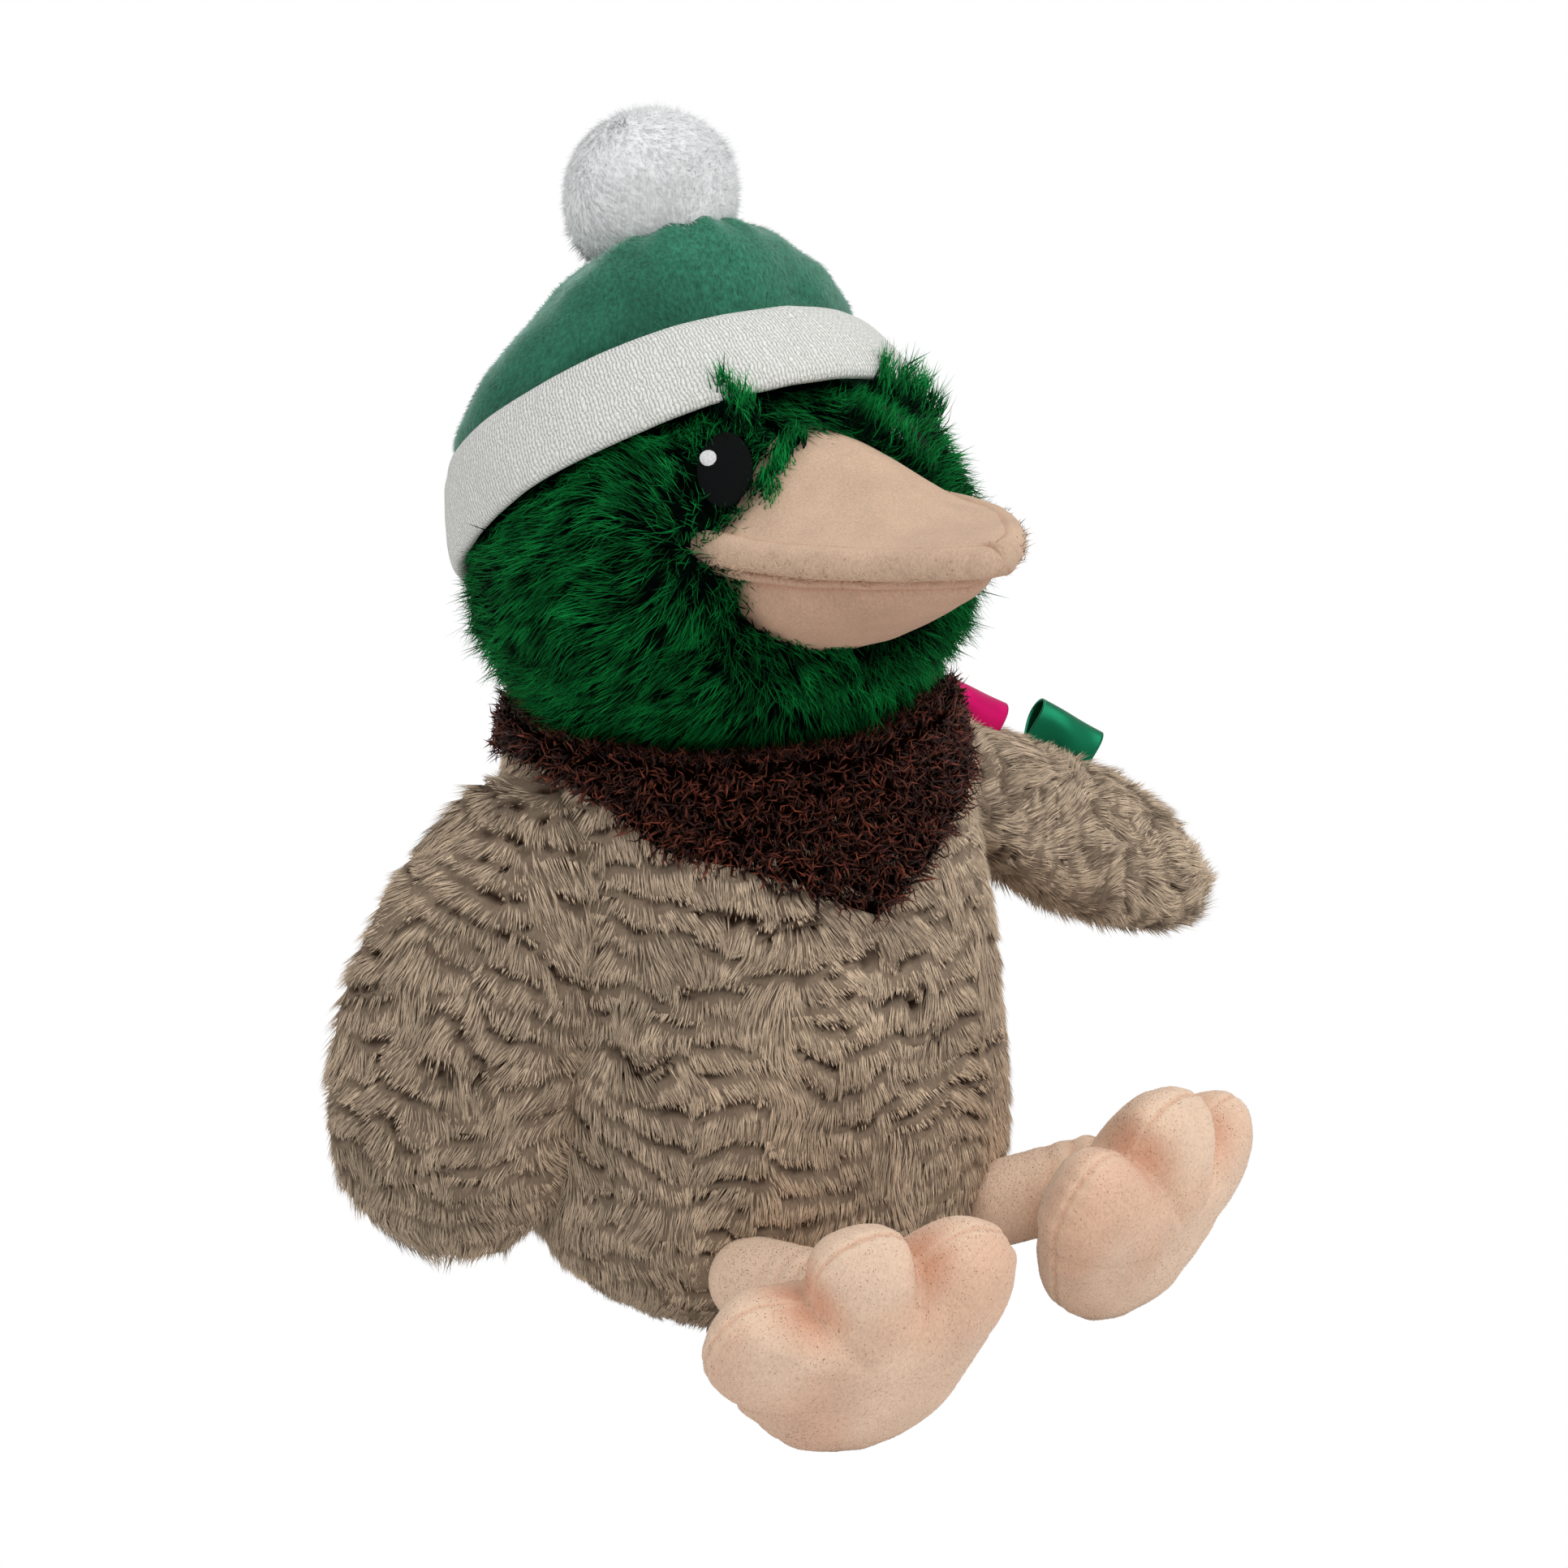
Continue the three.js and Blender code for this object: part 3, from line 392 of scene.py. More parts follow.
def quads(rows, columns, joined_rows=False, joined_columns=False):
    """Quads over a grid of points and a UV for each corner, in whole columns and rows"""
    i, j = np.meshgrid(np.arange(rows - (not joined_rows)), np.arange(columns - (not joined_columns)), indexing="ij")
    steps = ((0, 0), (0, 1), (1, 1), (1, 0))
    faces = stack(*((i + a) % rows * columns + (j + b) % columns for a, b in steps)).reshape(-1, 4)
    return faces, np.stack([stack(j + b, i + a) for a, b in steps], 2).reshape(-1, 4, 2)


def closed_grid(name, points, tone, material, flip=False):
    """A skin over rings of points [ring, place round, 3], closed by a middle point at each end"""
    rings, around = points.shape[:2]
    faces, uv = quads(rings, around, joined_columns=True)
    place = np.arange(around)
    after, first = (place + 1) % around, rings * around
    parts = [faces, stack(first, after, place), stack(first + 1, first - around + place, first - around + after)]
    uvs = [uv + [0, 1], np.stack([stack(place + 0.5, 0), stack(place + 1, 1), stack(place, 1)], 1),
           np.stack([stack(place + 0.5, rings + 1), stack(place, rings), stack(place + 1, rings)], 1)]
    if flip:
        parts, uvs = ([part[:, ::-1] for part in group] for group in (parts, uvs))
    if tone is not None:
        tone = with_ends(np.broadcast_to(tone, points.shape))
    uv = np.concatenate([part.reshape(-1, 2) for part in uvs]) / [around, rings + 1]
    return object_from(name, with_ends(points), parts, uv, tone, material)


def with_ends(rings):
    """Rings of values as one list, followed by the first and the last ring's means"""
    return np.concatenate([rings.reshape(-1, 3), [rings[0].mean(0), rings[-1].mean(0)]])


def ring_grid(name, points, tone, material, flip=False):
    """A closed ring: points [place round, place in the section, 3], joined both ways"""
    around, across = points.shape[:2]
    faces, uv = quads(around, across, joined_rows=True, joined_columns=True)
    order = [1, 2, 3, 0] if flip else [0, 3, 2, 1]
    return object_from(name, points.reshape(-1, 3), [faces[:, order]], uv[:, order, ::-1] / [around, across],
                       np.broadcast_to(tone, points.shape), material)


def hairs(name, material, roots, normals, starts, ends, lengths, widths, shade, painted_shade_and_warmth=0.0, turns=None, radii=None,
          rings=2, floor=None, soft=0.0):
    """Closed three-sided spikes. A hair's line leaves the root along its start direction and bends to its end
    direction; each ring is a flat triangle across the line, and the last is a point. Turns and radii curl it."""
    many = len(roots)
    places = np.linspace(0, 1, rings + 1)
    t = places[None, :, None]
    line = roots[:, None] + lengths[:, None, None] * (starts[:, None] * (t - t * t / 2) + ends[:, None] * t * t / 2)
    direction = unit(starts[:, None] * (1 - t) + ends[:, None] * t)
    side = unit(np.cross(direction, normals[:, None]))
    face = np.cross(side, direction)
    if turns is not None:
        angle = (turns[:, None] * places + shade[:, None] * 40)[..., None]
        line = line + radii[:, None, None] * np.sin(t * np.pi / 2) * (side * np.cos(angle) + face * np.sin(angle))
    body = places[:-1]
    thick = widths[:, None, None] * np.maximum(1 - body ** 2.2 * 0.55, 0.2)[None, :, None]
    low, out, up = line[:, :-1], side[:, :-1] * thick, face[:, :-1] * thick
    rims = np.stack([low + out / 2, low - out / 2, low + up * 0.4], 2).reshape(many, -1, 3)
    points = np.concatenate([rims, line[:, -1:]], 1)
    if floor is not None:
        points[..., 2] = np.maximum(points[..., 2], floor)
    tip = rings * 3
    faces, uv = [(0, 2, 1)], [((0, 0), (1, 0), (0.5, 0))]
    for ring in range(rings):
        for corner in range(3):
            a, b = ring * 3 + corner, ring * 3 + (corner + 1) % 3
            u0, u1, v0, v1 = corner / 3, (corner + 1) / 3, ring / rings, (ring + 1) / rings
            if ring < rings - 1:
                faces += [(a, b, b + 3), (a, b + 3, a + 3)]
                uv += [((u0, v0), (u1, v0), (u1, v1)), ((u0, v0), (u1, v1), (u0, v1))]
            else:
                faces.append((a, b, tip))
                uv.append(((u0, v0), (u1, v0), ((u0 + u1) / 2, 1)))
    faces, uv = np.array(faces), np.array(uv, float)
    # The first hairs' volume shows which way round their corners go
    a, b, c = (points[:64, faces[:, k]] - roots[:64, None] for k in range(3))
    if np.einsum("nfi,nfi->", a, np.cross(b, c)) < 0:
        faces, uv = faces[:, ::-1], uv[:, ::-1]
    faces = (faces[None] + np.arange(many)[:, None, None] * (tip + 1)).reshape(-1, 3)
    per_side = math.ceil(math.sqrt(many))
    spot = stack(np.arange(many) % per_side, np.arange(many) // per_side)
    uv = (spot[:, None, None] + 0.04 + uv[None] * 0.92) / per_side
    along = np.append(np.repeat(body, 3), 1.0)
    tone = stack(along[None, :], shade[:, None], np.broadcast_to(painted_shade_and_warmth, many)[:, None])
    facing = None
    if soft:
        facing = unit(unit(points - points.mean(1, keepdims=True)) * (1 - soft) + normals[:, None] * soft)
        facing = facing.reshape(-1, 3)
    return object_from(name, points.reshape(-1, 3), [faces], uv, tone, material, facing)


def finish_piece(made, body, slot, replaces=(), fill=None):
    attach(made, body)
    if replaces:
        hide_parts(*replaces)


def fur(name, body, slot, material, fibres, most=None, **looks):
    """Hairs from arrays by name, as one piece or as numbered pieces of at most so many hairs"""
    parts = math.ceil(len(fibres["roots"]) / most) if most else 1
    for part in range(parts):
        few = {key: array[part::parts] for key, array in fibres.items()}
        finish_piece(hairs(f"{name}_{part + 1}" if most else name, material, **few, **looks), body, slot)


def tuft_roots(centres, normals, each, width, rng):
    """Roots scattered along the skin about each tuft's middle, with their offsets from it"""
    spread = flattened(rng.normal(size=(len(centres), each, 3)) * width, normals[:, None])
    return (centres[:, None] + spread).reshape(-1, 3), spread.reshape(-1, 3)


# Materials


class Nodes:
    """A material's node tree, built from its output back"""

    def __init__(self, name, inputs=None):
        self.material = bpy.data.materials.new(name)
        self.material.use_nodes = True
        self.tree = self.material.node_tree
        self.shader = self.tree.nodes["Principled BSDF"]
        self.set({"Roughness": 0.8, "Specular IOR Level": 0.2, **(inputs or {})})

    def feed(self, node, inputs):
        """Sets a node's inputs, and links those that are given as sockets"""
        for key, value in inputs.items():
            if isinstance(value, bpy.types.NodeSocket):
                self.tree.links.new(value, node.inputs[key])
            else:
                node.inputs[key].default_value = value

    def set(self, inputs):
        self.feed(self.shader, inputs)

    def add(self, kind, inputs=None, **values):
        node = self.tree.nodes.new("ShaderNode" + kind)
        for key, value in values.items():
            setattr(node, key, value)
        self.feed(node, inputs or {})
        return node

    def place(self):
        return self.add("TexCoord").outputs["Object"]

    def streaked(self, share):
        """Places that change more slowly along the upright"""
        return self.add("Mapping", {"Vector": self.place(), "Scale": (1.0, 1.0, share)}).outputs[0]

    def tone(self):
        """The three values of the mesh's tone"""
        vector = self.add("Attribute", attribute_name="tone").outputs["Vector"]
        return self.add("SeparateXYZ", {"Vector": vector}).outputs

    def noise(self, size, detail, vector=None):
        node = self.add("TexNoise", {"Scale": 1 / size, "Detail": detail,
                                     "Vector": vector if vector is not None else self.place()})
        return node.outputs["Fac"]

    def mix(self, amount, first, second):
        return self.add("Mix", {0: amount, 6: first, 7: second}, data_type="RGBA").outputs[2]

    def ranged(self, value, low, high, to_low=0.0, to_high=1.0):
        node = self.add("MapRange", {"Value": value, "From Min": low, "From Max": high,
                                     "To Min": to_low, "To Max": to_high})
        return node.outputs["Result"]

    def varied(self, value, swing, low=0.3):
        """A factor about one that follows a value"""
        return self.ranged(value, low, 1 - low, 1 - swing, 1 + swing)

    def math(self, operation, first, second=0.0):
        return self.add("Math", {0: first, 1: second}, operation=operation).outputs[0]

    def scaled(self, colour_value, shade):
        return self.add("VectorMath", {0: colour_value, "Scale": shade}, operation="SCALE").outputs[0]

    def bump(self, height, distance, strength):
        node = self.add("Bump", {"Height": height, "Distance": distance, "Strength": strength})
        self.set({"Normal": node.outputs["Normal"]})


def rgba(colour_value, factor=1.0):
    return tuple(min(c * factor, 1.0) for c in colour_value) + (1.0,)


def times(colour_value, factor):
    return [c * factor for c in colour_value]


def fur_material(name, tip, root, spread=0.35, rough=0.75, sheen=0.1, reach=(0.0, 0.75), patch=18 * MM, mottle=0.15,
                 gloss=0.15, tint=None):
    """Hair that is dark at its root and light at its tip, each hair a little lighter or darker,
    with wider patches of light and dark. The tone's third value mixes in the root colour as painted shade,
    and on the feet's nap also as warm patches"""
    nodes = Nodes(name, {"Roughness": rough, "Specular IOR Level": gloss, "Sheen Weight": sheen,
                         "Sheen Roughness": 0.5, "Sheen Tint": tint or rgba(tip, 1.4)})
    tone = nodes.tone()
    base = nodes.mix(nodes.ranged(tone["X"], *reach), rgba(root), rgba(tip))
    single = nodes.varied(tone["Y"], spread, 0.0)
    patches = nodes.varied(nodes.noise(patch, 2.0), mottle)
    streaks = nodes.varied(nodes.noise(0.3 * MM, 1.0, nodes.streaked(0.12)), 0.12)
    shade = nodes.math("MULTIPLY", nodes.math("MULTIPLY", single, patches), streaks)
    # Painted shade: the tone's third value mixes in the root colour
    nodes.set({"Base Color": nodes.mix(tone["Z"], nodes.scaled(base, shade), rgba(root))})
    return nodes.material


def velour_material(name, base, crease, pile=0.45 * MM, patch=14 * MM, sheen=0.06, brushed=0.03, grainy=0.1,
                    tint=None):
    """Short nap: fine grain, brushed patches, the crease colour where the tone's first value marks painted shade
    in creases, hollows and joins, and on the feet warm patches, and a lighter colour where its second value
    marks a painted highlight
    """
    nodes = Nodes(name, {"Roughness": 0.85, "Sheen Weight": sheen, "Sheen Roughness": 0.4,
                         "Sheen Tint": tint or rgba(base, 1.5)})
    tone = nodes.tone()
    # The crease colour where the tone's first value marks it: painted shade, and on the feet also warm patches
    warmth_and_shade = nodes.mix(tone["X"], rgba(base), rgba(crease))
    grain = nodes.noise(pile, 3.0, nodes.streaked(0.5))
    shade = nodes.math("MULTIPLY", nodes.varied(nodes.noise(patch, 3.0), brushed, 0.35), nodes.varied(grain, grainy))
    # A lighter colour where the tone's second value marks it: painted highlight
    nodes.set({"Base Color": nodes.mix(tone["Y"], nodes.scaled(warmth_and_shade, shade), rgba(base, 1.25))})
    nodes.bump(grain, 0.3 * MM, 0.6)
    return nodes.material


def peach_fibre(name, tip, root, **looks):
    """The pale hair on the peach cloth, paler than the cloth as a painted sheen, made once and then used again"""
    return bpy.data.materials.get(name) or fur_material(name, times(tip, 1.5), times(root, 1.25), **looks)


def settings():
    scene = bpy.context.scene
    return scene.duck_trunk, scene.duck_head, scene.duck_hat, scene.duck_limbs


# Forms


def ball(u, v):
    """Points of a ball with radius one, from its lowest point up"""
    tilt, angle = v * np.pi, u * TURN
    return stack(np.sin(tilt) * np.cos(angle), np.sin(tilt) * np.sin(angle), -np.cos(tilt))


def trunk_surface(trunk, growth):
    """Trunk: an outline of half widths over the height, then across the seat, turned round and leant back"""
    heights = np.linspace(1, 0, 120)
    seat = np.linspace(1, 0, 30)[1:]
    size = np.concatenate([share_at(TRUNK_SHARES, heights), TRUNK_SHARES[0][1] * seat])
    rise = np.concatenate([heights * trunk.height, seat * 0])
    steps = np.hypot(np.diff(size * trunk.half_width), np.diff(rise))
    place = np.concatenate([[0], np.cumsum(steps)]) / steps.sum()

    def surface(u, v):
        angle = u * TURN
        r, z = np.interp(v, place, size), np.interp(v, place, rise)
        return stack((trunk.half_width * r + growth) * np.sin(angle),
                     trunk.lean * z / trunk.height - (trunk.half_depth * r + growth) * np.cos(angle), z)
    return surface


def head_surface(head, growth):
    """Head: a ball a little fuller than an ellipsoid, from its lowest point up"""
    def surface(u, v):
        tilt, angle = (v - 0.5) * np.pi, u * TURN
        size = np.maximum(np.cos(tilt), 0) ** HEAD_FULLNESS
        return stack((head.half_width + growth) * size * np.sin(angle),
                     head.set_back - (head.half_depth + growth) * size * np.cos(angle),
                     head.rise + (head.half_height + growth) * np.sin(tilt))
    return surface


def hat_base(head, hat):
    """The hat's base: its ring's middle at the origin, its axis up"""
    return np.array([0, head.set_back + hat.set_back, head.rise + hat.rise]), rotation("X", -hat.tilt)


def bill_base(head):
    """The bill's base: the mouth line lies at height zero, the tip at -Y"""
    return np.array([0, head.set_back, head.rise + BILL_RISE]), rotation("X", -BILL_PITCH)


def eye_base(head, sign):
    """An eye's base: its middle on the face with its axes across, up and out"""
    across, up = EYE_SIDE * sign / head.half_width, EYE_RISE / head.half_height
    size = math.sqrt(1 - up * up) ** HEAD_FULLNESS
    y = -head.half_depth * math.sqrt(size * size - across * across)
    out = unit(np.array([across / head.half_width, y / head.half_depth ** 2, up / head.half_height]))
    side = unit(np.cross([0, 0, 1.0], out))
    first, second = turned(side, np.cross(out, side), EYE_SLANT * sign)
    return np.array([EYE_SIDE * sign, head.set_back + y, head.rise + EYE_RISE]), np.stack([first, second, out], 1)


def wing_middle(limbs, side, share):
    long = getattr(limbs, f"{side}_wing_length")
    drop = math.sqrt(long ** 2 - WING_FLARE ** 2 - WING_SWEEP ** 2)
    return stack(-WING_FLARE * share - WING_BOWS[side] * np.sin(share * np.pi), WING_SWEEP * share, -drop * share)


def wing_surface(limbs, side, growth):
    """Wing: rounded sections along a bowed line from the shoulder to the tip, raised about the shoulder"""
    base = np.array(SHOULDERS[side]), rotation("Y", -WING_RAISES[side])
    turn, half_width = WING_TURNS[side], getattr(limbs, f"{side}_wing_half_width")

    def surface(u, v):
        share = np.sin(v * np.pi / 2) * (1 + WING_ROOT) - WING_ROOT
        angle = u * TURN
        along = unit(wing_middle(limbs, side, share + 0.02) - wing_middle(limbs, side, share - 0.02))
        width = unit(flattened(np.array([-math.cos(turn), math.sin(turn), 0]), along))
        root, tip = WING_ENDS
        ends = rounded((v - tip) / (1 - tip)) * rounded((root - v) / root)
        wide = (half_width * share_at(WING_WIDTH_SHARES, share) + growth) * ends
        thick = (limbs.wing_half_thickness * share_at(WING_THICK_SHARES, share) + growth) * ends
        local = wing_middle(limbs, side, share) + width * (wide * np.cos(angle))[..., None] \
            + np.cross(along, width) * (thick * np.sin(angle))[..., None]
        return out_of(base, local * np.array([-SIDES[side], 1, 1]))
    return surface


def bill_points(head, upper):
    """Half a bill: sections from the root to the tip, each the mouth line's flat, a rolled lip and an arch"""
    reach, half, deepest, table, sharp, lip, proud = (
        (BILL_REACH, BILL_HALF_WIDTH, BILL_RIDGE, BILL_RIDGE_SHARES, 2.6, LIP_HEIGHT * 1.4, LIP_PROUD * 1.2) if upper
        else (BILL_REACH - LOWER_SHORT, BILL_HALF_WIDTH - 0.5 * MM, BILL_DEPTH, BILL_KEEL_SHARES, 1.0,
              LIP_HEIGHT * 0.5, LIP_PROUD * 0.5))
    straight = BILL_ROWS - NOSE_ROWS
    nose = np.concatenate([np.zeros(straight), np.linspace(0, 0.97, NOSE_ROWS + 1)[1:]])[:, None] * np.pi / 2
    share = np.sin(np.minimum(np.arange(BILL_ROWS) / (straight - 1), 1) * np.pi / 2)[:, None]
    wide = half * share_at(BILL_WIDTH_SHARES, share)
    tall = np.maximum(deepest * share_at(table, share), lip * 1.02)
    # Round a section: the first lip, the arch, the other lip and the flat along the mouth line
    turn = np.linspace(0, 1, BILL_ROUND)[None, :]
    lip_part, flat_part = 0.16, 0.12
    other, flat_start = 1 - lip_part - flat_part, 1 - flat_part
    arch = np.clip((turn - lip_part) / (other - lip_part), 0, 1) * np.pi
    bead = math.radians(-85) + 1.14 * np.clip(turn / lip_part, 0, 1) * np.pi
    other_bead = math.radians(120) - 1.14 * np.clip((turn - other) / lip_part, 0, 1) * np.pi
    flat = np.clip((turn - flat_start) / flat_part, 0, 1)
    places = [turn < lip_part, turn < other, turn < flat_start]
    x = np.select(places, [wide + proud * np.cos(bead), (wide - 0.5 * proud) * np.cos(arch),
                           -(wide + proud * np.cos(other_bead))], -wide + 2 * wide * flat)
    arch_z = 0.93 * lip + (tall - 0.93 * lip) * np.sin(arch) ** sharp + 0.5 * MM * np.sin(arch) ** 0.3
    z = np.select(places, [lip * (0.5 + 0.5 * np.sin(bead)) + 0 * wide, arch_z,
                           lip * (0.5 + 0.5 * np.sin(other_bead)) + 0 * wide], 0.1 * MM)
    y = -(BILL_ROOT + (reach - BILL_ROOT) * share) - proud * 1.3 * np.sin(nose)
    z = 0.5 * lip + (z - 0.5 * lip) * np.cos(nose)
    up = 1 if upper else -1
    local = stack(x * np.cos(nose), y, z * up)
    local[..., 2] += 0.25 * MM * noise(local, 6 * MM, 3 if upper else 9) * up
    # Painted shade: the creases between the lip rolls and the arch, the mouth line and the whole lower bill under the
    # lip take the crease colour
    seam = bell(turn - lip_part, 0.012) + bell(turn - other, 0.012)
    mouth = bell(turn, 0.02) + bell(turn - flat_start, 0.02)
    tone = stack(np.clip(0.25 * seam + 0.4 * mouth + (0 if upper else 0.3), 0, 1), 0, 0)
    return out_of(bill_base(head), local), tone


def hat_ring(hat, radius, angle, z):
    return stack(radius * np.sin(angle), (hat.radius - hat.half_depth - radius) * np.cos(angle), z)


def foot_outline(limbs, angle):
    """A foot's outline: the farthest of the palm and three toes, seen from the palm's middle, smoothly joined"""
    scale = limbs.palm_radius
    total = np.ones_like(angle)
    for toe, share in ((-1, 1.0), (0, TOE_MIDDLE_SHARE), (1, 1.0)):
        away, direction = limbs.toe_reach * share, np.pi / 2 - toe * TOE_SPREAD
        off = away * np.sin(angle - direction)
        hit = away * np.cos(angle - direction) + np.sqrt(np.maximum(limbs.toe_radius ** 2 - off * off, 0))
        total = total + (np.where(np.abs(off) < limbs.toe_radius, np.maximum(hit, 0), 0) / scale) ** TOE_SHARPNESS
    return scale * total ** (1 / TOE_SHARPNESS)


# Embossed fur and naps


def bands(surface, points, v, height, seed, strong=1.0):
    """Embossed fur: how far a point lies down its band, from 0 under the band above to 1 at its own edge.
    Like bricks, the bands are broken and shifted from patch to patch, and they fade in places."""
    places = np.linspace(0, 1, 200)
    line = surface(np.full(200, 0.25), places)
    run = np.concatenate([[0], np.cumsum(np.linalg.norm(np.diff(line, axis=0), axis=1))])
    place = np.interp(v, places, run) / height + 0.9 * cells(points, 13 * MM, seed) \
        + waves(points, (1.2, 26 * MM, seed), (0.5, 9 * MM, seed + 1), (0.15, 2.2 * MM, seed + 2))
    strength = smooth(-0.7, -0.1, noise(points, 11 * MM, seed + 3)) * (0.5 + 0.5 * cells(points, 12 * MM, seed + 20))
    return place - np.floor(place), strength * strong


def band_relief(step, strength):
    """Height of the cloth under the embossed fur: a gap under each band, then a slow rise"""
    return strength * (1.2 * step - 2.0 * (bell(step, 0.09) + bell(1 - step, 0.04))) * MM


def band_tone(points, step, strength):
    """Tone of the cloth under the embossed fur: painted shade, dark all over as the shade among the hairs
    and darker in the gaps under the bands
    """
    painted_shade_and_warmth = np.clip(1.4 * strength * (bell(step, 0.13) + bell(1 - step, 0.05)), 0, 1)
    return stack(0.14 - 0.1 * painted_shade_and_warmth, 0.45 + 0.3 * noise(points, 3 * MM, 4), painted_shade_and_warmth * 0.9)


def banded_cloth(name, surface, places, body, outward, height, seed, material, replaces, fill, strong=1.0):
    """The cloth under embossed fur, with its relief"""
    v, u = places
    points, _, normal = frame_at(surface, u, v)
    step, strength = bands(surface, points, v, height, seed, strong)
    relief = band_relief(step, strength) * smooth(0.0, 3 * MM, points[..., 2])
    points = points + unit(normal) * outward * relief[..., None]
    points[..., 2] = np.maximum(points[..., 2], 0)
    made = closed_grid(f"{name}_cloth", points, band_tone(points, step, strength), material, flip=outward < 0)
    finish_piece(made, body, "taupe_plush", replaces, fill)


def banded_fur(name, surface, wanted, body, outward, trunk, seed, material, floor=None, allowed=None, strong=1.0,
               tousled=0.0, kept=None):
    """Hairs that lie down the surface in broken bands: they end at their band's edge, lifted and ragged there"""
    rng = np.random.default_rng(seed)
    u, v = scatter(surface, wanted, rng, allowed)
    points, down, normal = frame_at(surface, u, v)
    normal = unit(normal) * outward
    height, pile = trunk.band, trunk.pile
    step, strength = bands(surface, points, v, height, seed, strong)
    chance = np.where(step < 0.4, 1.0, 0.55) * (1 - 0.97 * np.minimum(1.6 * strength, 1) * bell(step, 0.07))
    keep = rng.random(len(u)) < chance
    points, normal, down, step, strength = (a[keep] for a in (points, normal, down, step, strength))
    many = len(points)
    lean = waves(points, (0.9 + tousled, 11 * MM, seed + 7), (0.3 + 0.5 * tousled, 4 * MM, seed + 8)) \
        + 0.08 * rng.normal(size=many)
    lift = 0.5 * tousled * (noise(points, 5 * MM, seed + 12) + 0.6) + 1.2 * MM * strength / height
    lip = strength * smooth(0.5, 1.0, step)
    across = np.cross(normal, down) * lean[:, None]
    starts = unit(down + normal * (0.42 + 0.4 * lip + lift)[:, None] + across)
    ends = unit(down + normal * (0.06 + 0.25 * lip + lift + 0.06 * rng.normal(size=many))[:, None] + across * 1.3)
    left_over = np.maximum((1.08 - step) * height * rng.uniform(0.75, 1.25, many), 1.4 * MM)
    long = np.minimum(pile * rng.uniform(0.8, 1.15, many), left_over)
    long = np.where(strength > 0.25, long, pile * rng.uniform(0.7, 1.1, many))
    # Hairs lifted at a band's edge are a little lighter: painted highlight
    shade = np.clip(0.48 + 0.22 * rng.normal(size=many) + 0.34 * noise(points, 2.2 * MM, seed + 9) + 0.14 * lip, 0, 1)
    # Partings: the hairs there are shorter, and darkened below as painted shade
    parting = tousled * bell(noise(points, 6 * MM, seed + 15), 0.12)
    long = long * (1 - 0.5 * parting)
    if kept is not None:
        long = long * kept(points)
    # Painted shade: hairs rooted in a band's gap and in the partings are darkened towards the root colour
    fibres = {"roots": points + normal * (band_relief(step, strength) - 0.3 * MM)[:, None], "normals": normal,
              "starts": starts, "ends": ends, "lengths": long, "widths": rng.uniform(0.26, 0.46, many) * MM,
              "shade": shade, "painted_shade_and_warmth": np.clip(2 * strength * bell(step, 0.1) + 0.8 * parting, 0, 1)}
    fur(f"{name}_fur", body, "taupe_plush", material, fibres, MOST_BANDED, rings=1, floor=floor, soft=0.8)


def beside_legs(limbs, points):
    """Share of its length that a hair keeps: none on a leg's root, all from 7 mm beside the leg on"""
    keep = np.ones(len(points))
    for side in SIDES:
        hip, ankle = np.array(HIPS[side]), np.array(ANKLES[side])
        line = ankle - hip
        share = np.clip((points - hip) @ line / (line @ line), 0, 1)
        far = np.linalg.norm(points - hip - share[:, None] * line, axis=1) - limbs.leg_radius
        keep = np.minimum(keep, smooth(-1.5 * MM, 7 * MM, far))
    return keep


def nap(name, rings, wanted, seed, outward, look, tone, material, body, slot):
    """Short upright fibres over rings of points, spread by area"""
    rng = np.random.default_rng(seed)
    long, wide, lying = look
    along, down = np.roll(rings, -1, 1)[:-1] - rings[:-1], rings[1:] - rings[:-1]
    normal = np.cross(along, down)
    weight = np.linalg.norm(normal, axis=-1).ravel()
    pick = rng.choice(len(weight), wanted, p=weight / weight.sum())
    a, b = rng.random((2, wanted, 1))
    along, down, normal, low = (array.reshape(-1, 3)[pick] for array in (along, down, normal, rings[:-1]))
    normal = unit(normal) * outward
    roots = low + along * a + down * b
    comb = unit(flattened(noises(roots, 9 * MM, seed) - [0, 0, 0.8], normal)) * lying \
        + rng.normal(size=roots.shape) * 0.25
    # The cloth's first tone value comes along as the fibres' painted shade, and on the feet as warm patches too
    fibres = {"roots": roots - normal * 0.1 * MM, "normals": normal, "starts": unit(normal + comb * 0.6),
              "ends": unit(normal * 0.6 + comb), "lengths": long * rng.uniform(0.6, 1.2, wanted),
              "widths": wide * rng.uniform(0.7, 1.3, wanted), "shade": rng.random(wanted),
              "painted_shade_and_warmth": np.broadcast_to(tone, rings.shape)[:-1, :, 0].ravel()[pick]}
    fur(name, body, slot, material, fibres, rings=1, floor=0.0, soft=0.85)


# Operators


class DUCK_OT_trunk(bpy.types.Operator):
    """Builds the trunk and its embossed fur"""
    bl_idname = "duck.trunk"
    bl_label = "Trunk"

    def execute(self, context):
        trunk, _, _, limbs = settings()
        surface = trunk_surface(trunk, -SKIN_INSET)
        material = fur_material("taupe_fur", trunk.fur_colour, trunk.root_colour, spread=0.4, reach=(0.0, 0.42))
        banded_cloth("trunk", surface, grid(0.026, 0.999, *TRUNK_GRID), "torso", -1, trunk.band, 11, material,
                     ("body_cover", "body_filling", "bean_pouch"), 0.85)
        banded_fur("trunk", surface, trunk.hairs, "torso", -1, trunk, 11, material, floor=0.2 * MM,
                   allowed=lambda p: (p[:, 2] > 0.6 * MM) * (p[:, 2] < trunk.height - 4 * MM)
                   * (beside_legs(limbs, p) > 0.02) * 1.0, kept=lambda p: 0.25 + 0.75 * beside_legs(limbs, p))
        return {"FINISHED"}


